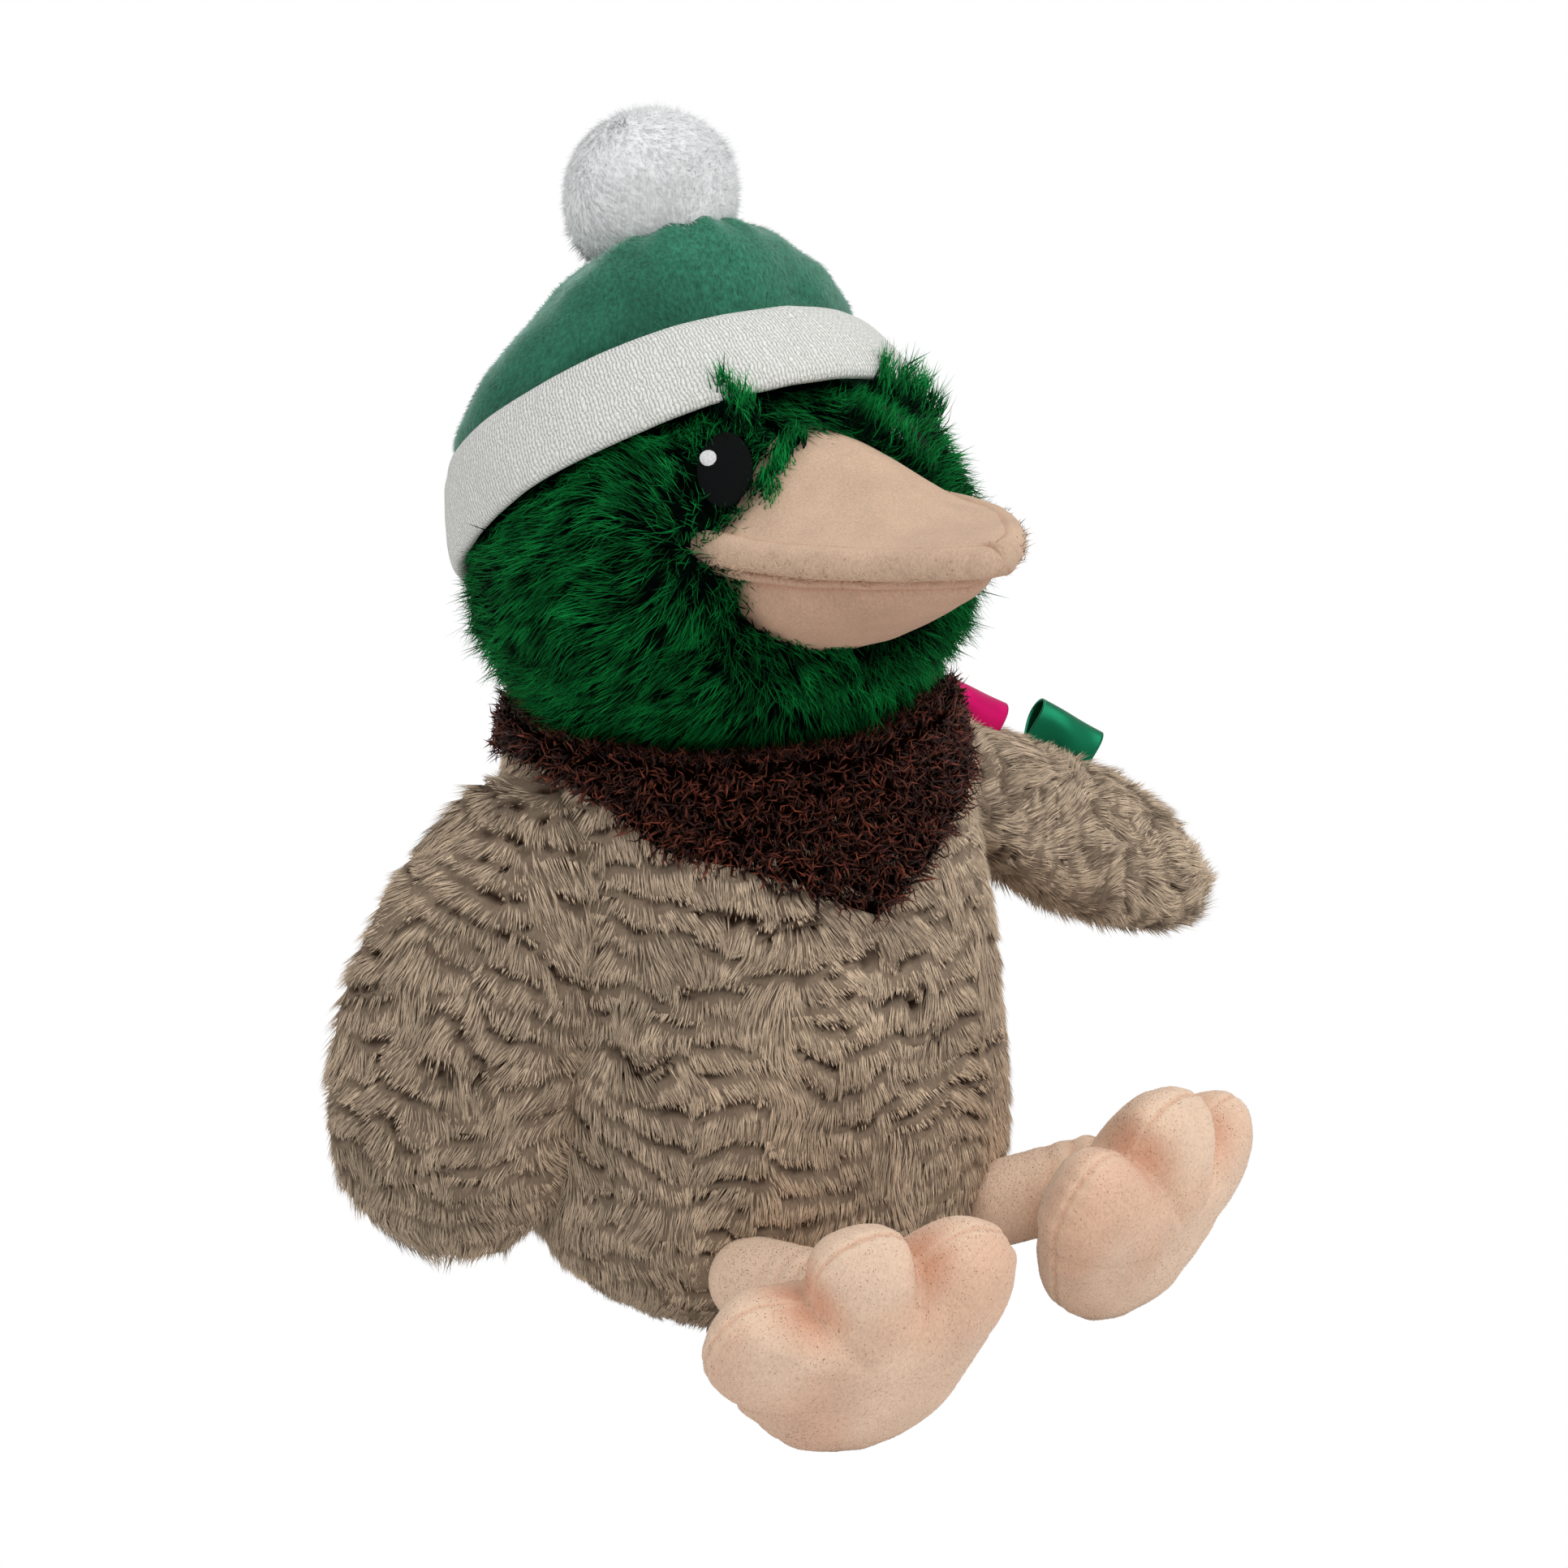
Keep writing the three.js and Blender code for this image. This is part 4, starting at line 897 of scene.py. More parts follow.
class DUCK_OT_wings(bpy.types.Operator):
    """Builds both wings and their embossed fur"""
    bl_idname = "duck.wings"
    bl_label = "Wings"

    def execute(self, context):
        trunk, _, _, limbs = settings()
        material = bpy.data.materials["taupe_fur"]
        for side, sign in SIDES.items():
            name, surface = f"wing_{side}", wing_surface(limbs, side, -SKIN_INSET)
            strong, tousled = WING_LOOKS[side]
            banded_cloth(name, surface, grid(0.001, 0.999, *WING_GRID), name, -sign, trunk.band, 31 + sign, material,
                         (name,), 0.6, strong)
            banded_fur(name, surface, trunk.wing_hairs, name, -sign, trunk, 31 + sign, material, strong=strong,
                       tousled=tousled)
        return {"FINISHED"}


class DUCK_OT_tail(bpy.types.Operator):
    """Builds the tail"""
    bl_idname = "duck.tail"
    bl_label = "Tail"

    def execute(self, context):
        trunk = context.scene.duck_trunk
        base = np.array([0, trunk.half_depth, TAIL_RISE]), rotation("X", TAIL_LIFT)

        def surface(u, v):
            return out_of(base, ball(u, v)[..., [0, 2, 1]] * TAIL_SIZE)

        v, u = grid(0.002, 0.998, *TAIL_GRID)
        material = bpy.data.materials["taupe_fur"]
        made = closed_grid("tail_cloth", surface(u, v), (0.2, 0.4, 0), material, flip=True)
        finish_piece(made, "torso", "taupe_plush", ("tail",), 0.6)
        banded_fur("tail", surface, TAIL_HAIRS, "torso", -1, trunk, 57, material, tousled=0.5)
        return {"FINISHED"}


class DUCK_OT_bib(bpy.types.Operator):
    """Builds the curly collar with its bib"""
    bl_idname = "duck.bib"
    bl_label = "Bib"

    def execute(self, context):
        trunk = context.scene.duck_trunk
        skin = trunk_surface(trunk, -BIB_INSET)
        places = np.linspace(0, 0.9, 600)
        rises = skin(np.zeros(600), places)[:, 2]
        middle = np.array([0, trunk.lean, trunk.height - 7 * MM])

        def surface(u, v):
            """From the inner rim over the ledge round the neck, then down the trunk's skin to the bib's edge"""
            around = u % 1.0
            drop = COLLAR_HEIGHT + BIB_DROP * share_at(BIB_SHARES, np.minimum(around, 1 - around) * 2)
            z = trunk.height - drop * np.clip((v - BIB_LEDGE) / (1 - BIB_LEDGE), 0, 1)
            outer = skin(u, np.interp(-z, -rises, places))
            inward = np.clip((BIB_LEDGE - v) / BIB_LEDGE, 0, 1)
            return outer + (middle - outer) * (0.42 * inward)[..., None]

        v, u = grid(0, 1, *BIB_GRID)
        outer, _, normal = frame_at(surface, u, v)
        normal = -unit(normal)
        inner = outer - normal * BIB_THICKNESS
        bulge = np.sin(np.clip(v, 0, 1) * np.pi) ** 0.4 * 0.8 * MM
        outer = outer + normal * (bulge + 0.5 * MM * noise(outer, 2.4 * MM, 5))[..., None]
        section = np.concatenate([outer, inner[::-1]], 0).transpose(1, 0, 2)
        material = fur_material("bib_fur", trunk.bib_colour, trunk.bib_root, spread=0.9, rough=0.4, reach=(0.3, 1.0),
                                patch=5 * MM, mottle=0.35, gloss=0.3)
        under = fur_material("bib_base", times(trunk.bib_root, 2), trunk.bib_root, rough=0.95, sheen=0, gloss=0)
        tone = stack(0.2 + 0.2 * noise(section, 1.2 * MM, 6), 0.3, 0.3)
        finish_piece(ring_grid("bib_cloth", section, tone, under, flip=True), "torso", "brown_plush", ("neck_collar",))
        rng = np.random.default_rng(21)
        u, v = scatter(surface, trunk.collar_curls, rng)
        many = len(u)
        points, down, normal = frame_at(surface, u, v)
        normal = -unit(normal)
        swirl = rng.uniform(0, TURN, many) + 2 * noise(points, 6 * MM, 3)
        lean = np.cross(normal, down) * np.cos(swirl)[:, None] + down * (np.sin(swirl) + 0.35)[:, None]
        fibres = {"roots": points - normal * 0.4 * MM, "normals": normal, "starts": unit(normal * 1.1 + lean * 0.5),
                  "ends": unit(normal * 0.4 + lean), "lengths": rng.uniform(2.8, 6.5, many) * MM,
                  "turns": rng.uniform(3.0, 8.0, many) * rng.choice([-1, 1], many),
                  "radii": rng.uniform(0.4, 1.2, many) * MM, "shade": rng.random(many) ** 1.8,
                  "widths": rng.uniform(0.35, 0.8, many) * MM}
        fur("bib_curls", "torso", "brown_plush", material, fibres, MOST_CURLS, rings=3)
        return {"FINISHED"}


class DUCK_OT_head(bpy.types.Operator):
    """Builds the head and its long fur"""
    bl_idname = "duck.head"
    bl_label = "Head"

    def execute(self, context):
        _, head, hat, _ = settings()
        surface = head_surface(head, -HEAD_INSET)
        v, u = grid(0.002, 0.998, *HEAD_GRID)
        material = fur_material("green_fur", head.tip_colour, head.root_colour, spread=0.85, sheen=0, reach=(0.5, 1.0),
                                patch=8 * MM, mottle=0.4, gloss=0.05)
        tone = (0.1, 0.5, 0.3)
        finish_piece(closed_grid("head_cloth", surface(u, v), tone, material), "head", "green_plush",
                     ("head_cover", "head_filling"), 0.9)
        neck = NECK_PLACE + NECK_RADIUS * ball(u, v)[::3, ::3]
        finish_piece(closed_grid("neck_ball", neck, tone, material), "neck", "stuffing", ("neck_filling",), 0.9)

        rng = np.random.default_rng(33)
        eyes = [eye_base(head, sign) for sign in SIDES.values()]
        u, v = scatter(surface, head.tufts // TUFT_HAIRS, rng, lambda points: self.allowed(head, hat, eyes, points))
        centre, _, normal = frame_at(surface, u, v)
        normal = unit(normal)
        # The pile is combed away from the bill, and down, off the cuff's edge and off the eyes
        away = centre - out_of(bill_base(head), np.array([0, -45 * MM, 0]))
        far = np.linalg.norm(away, axis=1)
        away = unit(away)
        comb = away * (0.9 * smooth(24 * MM, 44 * MM, far))[:, None] + [0, 0, -0.5] + noises(centre, 10 * MM, 71)
        comb = flattened(comb, normal)
        near_hat = smooth(-9 * MM, 0, into(hat_base(head, hat), centre)[:, 2])
        axis = rotation("X", -hat.tilt) @ np.array([0, 0, 1.0])
        comb = comb * (1 - 0.75 * near_hat)[:, None] - axis * (0.45 * near_hat)[:, None]
        near_bill = 1 - smooth(26 * MM, 38 * MM, far)
        over = smooth(8 * MM, 18 * MM, into(bill_base(head), centre)[:, 2])
        comb = comb * (1 - 0.6 * near_bill)[:, None] - away * ((0.12 + 0.5 * over) * near_bill)[:, None]
        close = np.max([1 - smooth(1.2, 2.0, self.from_eye(eye, centre)) for eye in eyes], 0)
        comb *= (1 - 0.75 * close)[:, None]
        roots, offsets = tuft_roots(centre, normal, TUFT_HAIRS, 1.0 * MM, rng)
        many = len(roots)
        normals, comb, near_hat, near_bill, close, lock = (
            np.repeat(a, TUFT_HAIRS, 0) for a in (normal, comb, near_hat, near_bill, close,
                                                  rng.random((len(centre), 2))))
        stray = rng.normal(size=roots.shape) * 0.1
        long = head.pile * (0.75 + 0.5 * lock[:, 0]) * rng.uniform(0.8, 1.1, many)
        long *= (1 - 0.2 * close) * (1 - 0.25 * near_hat) * (1 - 0.1 * near_bill)
        long = np.where(roots[:, 2] < head.rise - 36 * MM, long * 0.75, long)
        ends = unit(normals * (0.18 + 0.3 * np.maximum(near_bill, close))[:, None] + comb * 1.1
                    - offsets / (5 * MM) + stray)
        fibres = {"roots": roots - normals * 0.5 * MM, "normals": normals,
                  "starts": unit(normals * 0.9 + comb * 0.5 + stray), "ends": ends, "lengths": long,
                  "shade": np.clip(lock[:, 1] * 0.75 + rng.random(many) * 0.25, 0, 1),
                  "widths": rng.uniform(0.2, 0.38, many) * MM}
        fur("head_fur", "head", "green_plush", material, fibres, MOST_HEAD, soft=0.7)
        self.fringe(head, hat, eyes, material, rng)
        return {"FINISHED"}

    @staticmethod
    def from_eye(eye, points):
        """Distance from an eye's middle, one at the eye's edge"""
        seen = into(eye, points)
        return np.hypot(seen[:, 0] / (EYE_WIDTH / 2), seen[:, 1] / (EYE_HEIGHT / 2))

    @classmethod
    def allowed(cls, head, hat, eyes, points):
        """One where hair grows: outside the hat, the bill's root and the eyes"""
        under_hat = into(hat_base(head, hat), points)[:, 2] > 1.0 * MM
        x, y, z = into(bill_base(head), points).T
        share = np.clip((-y - BILL_ROOT) / (BILL_REACH - BILL_ROOT), 0, 1)
        half = np.abs(x) / BILL_HALF_WIDTH
        curve = np.clip(1 - half ** 2, 0, 1)
        arch = LIP_HEIGHT + (BILL_RIDGE * share_at(BILL_RIDGE_SHARES, share) - LIP_HEIGHT) * curve ** 1.3
        keel = LIP_HEIGHT + (BILL_DEPTH * share_at(BILL_KEEL_SHARES, share) - LIP_HEIGHT) * curve ** 0.5
        in_bill = (y < -20 * MM) & (half < 0.82) & (z < arch * 0.76) & (z > -keel * 0.8)
        in_eye = np.any([cls.from_eye(eye, points) ** 2 < 0.75 for eye in eyes], 0)
        return (~under_hat & ~in_bill & ~in_eye) * 1.0

    @staticmethod
    def fringe(head, hat, eyes, material, rng):
        """Long tufts: some stand up over the cuff's lower edge, others between each eye and the bill"""
        base = hat_base(head, hat)
        centres, outs, ways = [], [], []
        for turn in rng.normal(np.repeat(np.radians(CUFF_TUFT_TURNS), TUFTS_A_TURN), 0.04):
            centres.append(out_of(base, hat_ring(hat, hat.radius - 5 * MM, turn, rng.uniform(-7, -1) * MM)))
            outs.append(base[1] @ [math.sin(turn), -math.cos(turn), 0])
            ways.append(base[1][:, 2] * 1.1 + outs[-1] * rng.uniform(0.2, 0.5) + [rng.normal(0.2, 0.25), 0, 0])
        for (place, axes), sign in zip(eyes, SIDES.values()):
            across, up, out = axes.T
            for rise in np.linspace(-8, 9, EYE_TUFTS):
                inward = rng.uniform(8.0, 10.0) - (3.4 if sign > 0 else 0) + 0.4 * max(rise, 0)
                centres.append(place + (up * rise - across * sign * inward - out * 4) * MM)
                outs.append(out)
                ways.append(out + up * 0.4 + rng.normal(size=3) * 0.15)
        centres, outs, ways = np.array(centres), unit(np.array(outs)), unit(np.array(ways))
        roots, offsets = tuft_roots(centres, outs, FRINGE_HAIRS, 1.3 * MM, rng)
        normals, ways = np.repeat(outs, FRINGE_HAIRS, 0), np.repeat(ways, FRINGE_HAIRS, 0)
        stray = rng.normal(size=roots.shape) * 0.12
        many = len(roots)
        tuft, cuff_tufts = np.arange(many) // FRINGE_HAIRS, len(CUFF_TUFT_TURNS) * TUFTS_A_TURN
        beside_right_eye = (tuft >= cuff_tufts) & (tuft < cuff_tufts + EYE_TUFTS)
        fibres = {"roots": roots, "normals": normals, "starts": unit(normals * 0.8 + ways * 0.5 + stray),
                  "ends": unit(ways - offsets / (4 * MM) + stray),
                  "lengths": rng.uniform(8, 13, many) * np.where(beside_right_eye, 0.6, 1.0) * MM,
                  "widths": rng.uniform(0.25, 0.45, many) * MM, "shade": rng.uniform(0.3, 1.0, many)}
        fur("head_fringe", "head", "green_plush", material, fibres, rings=3, soft=0.7)


class DUCK_OT_eyes(bpy.types.Operator):
    """Builds the embroidered eyes with their highlights"""
    bl_idname = "duck.eyes"
    bl_label = "Eyes"

    def execute(self, context):
        head = context.scene.duck_head
        black = self.thread("eye_thread", head.eye_colour, 0.75)
        white = self.thread("highlight_thread", (0.86, 0.87, 0.88), 0.45)
        # Each ball's half sizes and shift, its thread, and how much narrower its ends are than an oval's
        looks = (("eye", (EYE_WIDTH / 2, EYE_HEIGHT / 2, 1.0 * MM), (0, 0, -0.1 * MM), black, "black_thread", 0.12),
                 ("eye_highlight", (1.7 * MM, 1.8 * MM, 0.5 * MM), (-3.4 * MM, 1.8 * MM, 0.6 * MM), white,
                  "white_thread", 0.0))
        v, u = grid(0.003, 0.997, *EYE_GRID)
        for side, sign in SIDES.items():
            for name, halves, shift, material, slot, point in looks:
                x, y, z = np.moveaxis(ball(u, v) * halves, -1, 0)
                x = x * (1 - point * (y / halves[1]) ** 2)
                stitches = np.sin((x * 0.35 + y) / (0.34 * MM) * TURN) * 0.05 * MM * np.sin(v * np.pi)
                points = out_of(eye_base(head, sign), stack(x, y, z + stitches * (z > 0)) + shift)
                made = closed_grid(f"{name}_{side}_thread", points, None, material)
                finish_piece(made, "head", slot, (f"{name}_{side}",))
        return {"FINISHED"}

    @staticmethod
    def thread(name, tint, rough):
        nodes = Nodes(name, {"Roughness": rough, "Specular IOR Level": 0.1})
        lines = nodes.noise(0.3 * MM, 2.0, nodes.streaked(0.25))
        nodes.set({"Base Color": nodes.mix(lines, rgba(tint, 0.5), rgba(tint, 1.4))})
        nodes.bump(lines, 0.1 * MM, 0.5)
        return nodes.material


class DUCK_OT_bill(bpy.types.Operator):
    """Builds the two halves of the bill"""
    bl_idname = "duck.bill"
    bl_label = "Bill"

    def execute(self, context):
        head = context.scene.duck_head
        material = velour_material("peach_velour", head.bill_colour, head.crease_shade_colour, brushed=0.07, grainy=0.12)
        last = BILL_ROWS - NOSE_ROWS + 3
        for name, upper, seed, many in (("bill_upper", True, 5, 1300), ("bill_lower", False, 6, 600)):
            points, tone = bill_points(head, upper)
            made = closed_grid(f"{name}_velour", points, tone, material, flip=upper)
            finish_piece(made, "head", "peach_velour", (name,), 0.8)
            # Fuzz along both lips: it starts at the place 1 or 104 round the section and thins out inwards
            rng = np.random.default_rng(seed)
            rows = np.clip(np.arcsin(rng.uniform(0.05, 1, many)) * 2 / np.pi * last, 2, last).astype(int)
            inward = (np.abs(rng.normal(size=many)) * 5).astype(int) % 12
            places = np.where(rng.random(many) < 0.5, 1 + inward, 104 - inward)
            roots = points[rows, places] + rng.normal(size=(many, 3)) * 0.2 * MM
            middle = points.mean(1)[np.minimum(rows, last - 16)]
            out = unit(unit((roots - middle) * [1, 1, 0]) + [0, 0, 0.7])
            forward = unit(rng.normal(size=(many, 3)))
            fibres = {"roots": roots, "normals": out, "starts": unit(out + forward * 0.6),
                      "ends": unit(out * 0.6 + forward), "lengths": rng.uniform(0.9, 2.0, many) * MM,
                      "widths": rng.uniform(0.14, 0.26, many) * MM, "shade": rng.random(many)}
            fuzz = peach_fibre("peach_hair", head.bill_colour, head.bill_colour, spread=0.12)
            fur(f"{name}_seam_hair", "head", "peach_velour", fuzz, fibres, rings=1, soft=0.9)
        return {"FINISHED"}


class DUCK_OT_hat(bpy.types.Operator):
    """Builds the hat's crown and ribbed cuff"""
    bl_idname = "duck.hat"
    bl_label = "Hat"

    def execute(self, context):
        _, head, hat, _ = settings()
        self.cuff(head, hat)
        self.crown(head, hat)
        return {"FINISHED"}

    @classmethod
    def cuff(cls, head, hat):
        angle, turn = round_places(CUFF_GRID[0]).T, round_places(CUFF_GRID[1])
        half = hat.cuff_thickness / 2
        z = hat.cuff_height / 2 * (1 + eased(np.sin(turn), 0.45))
        out = eased(np.cos(turn), 0.8)
        ring = hat_ring(hat, hat.radius, angle, z)
        wave = waves(ring, (0.9 * MM, 21 * MM, 8), (0.3 * MM, 6 * MM, 9))
        puff = 0.9 * MM * np.sin(np.clip(z / hat.cuff_height, 0, 1) * np.pi)
        sag = hat.cuff_taper * z / hat.cuff_height
        radius = hat.radius - half - sag + out * half + wave + puff * (out > 0)
        points = hat_ring(hat, radius, angle, z + 0.5 * MM * noise(ring * 0.5, 15 * MM, 2))
        made = ring_grid("hat_cuff_knit", out_of(hat_base(head, hat), points), stack(z / hat.stitch, 0, 0),
                         cls.knit(hat))
        finish_piece(made, "head", "cream_knit", ("hat_cuff",))

    @staticmethod
    def knit(hat):
        """Stitches: columns of V shapes, each of two slanting legs, with a groove between the columns, and glints;
        the stitches' low parts are painted darker as shade
        """
        nodes = Nodes("cream_knit")
        uv = nodes.add("UVMap", uv_map="OFBake").outputs["UV"]
        column = nodes.math("MULTIPLY", nodes.add("SeparateXYZ", {"Vector": uv}).outputs["X"], float(hat.ribs))
        uneven = nodes.ranged(nodes.noise(2.5 * MM, 2.0), 0.3, 0.7, -0.35, 0.35)
        column = nodes.math("ADD", column, nodes.math("MULTIPLY", uneven, 0.6))
        off = nodes.math("ABSOLUTE", nodes.math("SUBTRACT", nodes.math("FRACT", column), 0.5))
        slant = nodes.math("ADD", nodes.math("ADD", nodes.tone()["X"], off), uneven)
        leg, loop = (nodes.math("SINE", nodes.math("MULTIPLY", value, TURN)) for value in (off, slant))
        height = nodes.math("MULTIPLY", leg, nodes.ranged(loop, -1, 1, 0.35, 1.0))
        yarn = nodes.ranged(nodes.noise(0.35 * MM, 3.0), 0.3, 0.7, -0.15, 0.15)
        height = nodes.math("ADD", height, yarn)
        glints = nodes.add("TexVoronoi", {"Vector": nodes.place(), "Scale": 1 / (0.9 * MM)}).outputs
        spark = nodes.add("SeparateColor", {"Color": glints["Color"]}).outputs[0]
        near = nodes.ranged(glints["Distance"], 0.12, 0.2, 1.0, 0.0)
        glint = nodes.math("MULTIPLY", near, nodes.ranged(spark, 0.86, 0.9))
        # Painted shade: the low parts of the stitches are darker
        nodes.set({"Metallic": glint, "Roughness": nodes.ranged(glint, 0, 1, 0.85, 0.2),
                   "Base Color": nodes.mix(nodes.ranged(height, 0.0, 0.55), rgba(hat.cuff_colour, 0.52),
                                           rgba(hat.cuff_colour))})
        nodes.bump(height, 0.35 * MM, 0.8)
        return nodes.material

    @staticmethod
    def crown(head, hat):
        share = np.linspace(0, 1, CROWN_GRID[0])[:, None]
        angle = round_places(CROWN_GRID[1])
        # The first part of the rows lies inside the cuff
        inside, sunk = 0.12, 9 * MM
        rise = np.where(share < inside, share / inside * sunk - sunk,
                        (share - inside) / (1 - inside) * hat.crown_height)
        place = np.clip(rise / hat.crown_height, 0, 1)
        size = share_at(CROWN_SHARES, place) * (1 - 0.03 * (share < 0.05))
        pleats = 1 + 0.05 * np.cos(angle * 14 + 2 * np.sin(angle * 3)) * smooth(0.6, 1.0, place)
        ring = hat_ring(hat, hat.radius - hat.cuff_taper - 3 * MM, angle, 0) * (size * pleats)[..., None]
        points = ring + stack(0, -hat.crown_lean * place ** 1.5, hat.cuff_height + rise)
        soft = waves(points, (1.3 * MM, 17 * MM, 15), (0.5 * MM, 6 * MM, 16))
        centre = np.array([0, -hat.crown_lean * 0.4, hat.cuff_height])
        points = points + unit(points - centre) * (soft * smooth(-1 * MM, 4 * MM, rise))[..., None]
        points = out_of(hat_base(head, hat), points)
        # Painted shade: the crown is darker where it goes into the cuff
        tone = stack(bell(rise, 2.0 * MM) * 0.3, 0, 0)
        dark = times(hat.crown_colour, 0.35)
        material = velour_material("teal_velour", hat.crown_colour, dark, pile=0.7 * MM, patch=24 * MM, sheen=0.9,
                                   brushed=0.22, grainy=0.3, tint=(0.7, 1, 0.9, 1))
        made = closed_grid("hat_crown_velour", points, tone, material)
        finish_piece(made, "head", "teal_velour", ("hat_crown", "hat_filling"), 0.5)
        # The nap's tips are paler than the crown: painted sheen
        fibre = fur_material("teal_nap", times(hat.crown_colour, 1.2), dark, spread=0.45, sheen=1, reach=(-0.6, 0.5),
                             patch=24 * MM, mottle=0.2, tint=(0.75, 1, 0.92, 1))
        nap("hat_crown_nap", points, CROWN_FIBRES, 61, 1, CROWN_NAP, tone, fibre, "head", "teal_velour")


class DUCK_OT_pompom(bpy.types.Operator):
    """Builds the pompom"""
    bl_idname = "duck.pompom"
    bl_label = "Pompom"

    def execute(self, context):
        _, head, hat, _ = settings()
        local = np.array([0, -hat.crown_lean - hat.pompom_forward,
                          hat.cuff_height + hat.crown_height + hat.pompom_rise])
        middle = out_of(hat_base(head, hat), local) + POMPOM_SHIFT
        material = fur_material("white_fur", hat.pompom_colour, times(hat.pompom_colour, 0.96), spread=0.03,
                                reach=(0.0, 0.5), mottle=0.02)
        core = hat.pompom_radius * 0.97

        def surface(u, v):
            form = ball(u, v)
            return middle + core * form * (1 + 0.06 * noise(form, 0.9, 7))[..., None]

        v, u = grid(0.003, 0.997, *POMPOM_GRID)
        made = closed_grid("pompom_core", surface(u, v), (0.8, 0.5, 0), material)
        finish_piece(made, "pompom", "white_plush", ("hat_pompom",), 0.7)
        rng = np.random.default_rng(8)
        roots = surface(*scatter(surface, hat.pompom_hairs, rng))
        many = len(roots)
        normals = unit(roots - middle)
        comb = flattened((noises(roots, 15 * MM, 1) - [0, 0, 0.5]) * 1.1, normals)
        comb = comb + rng.normal(size=roots.shape) * 0.15
        fibres = {"roots": roots - normals * 0.3 * MM, "normals": normals, "starts": unit(normals * 0.45 + comb),
                  "ends": unit(normals * 0.1 + comb), "lengths": rng.uniform(1.6, 3.2, many) * MM,
                  "widths": rng.uniform(0.12, 0.22, many) * MM, "shade": rng.random(many)}
        fur("pompom_fur", "pompom", "white_plush", material, fibres, rings=1, soft=1.0)
        return {"FINISHED"}


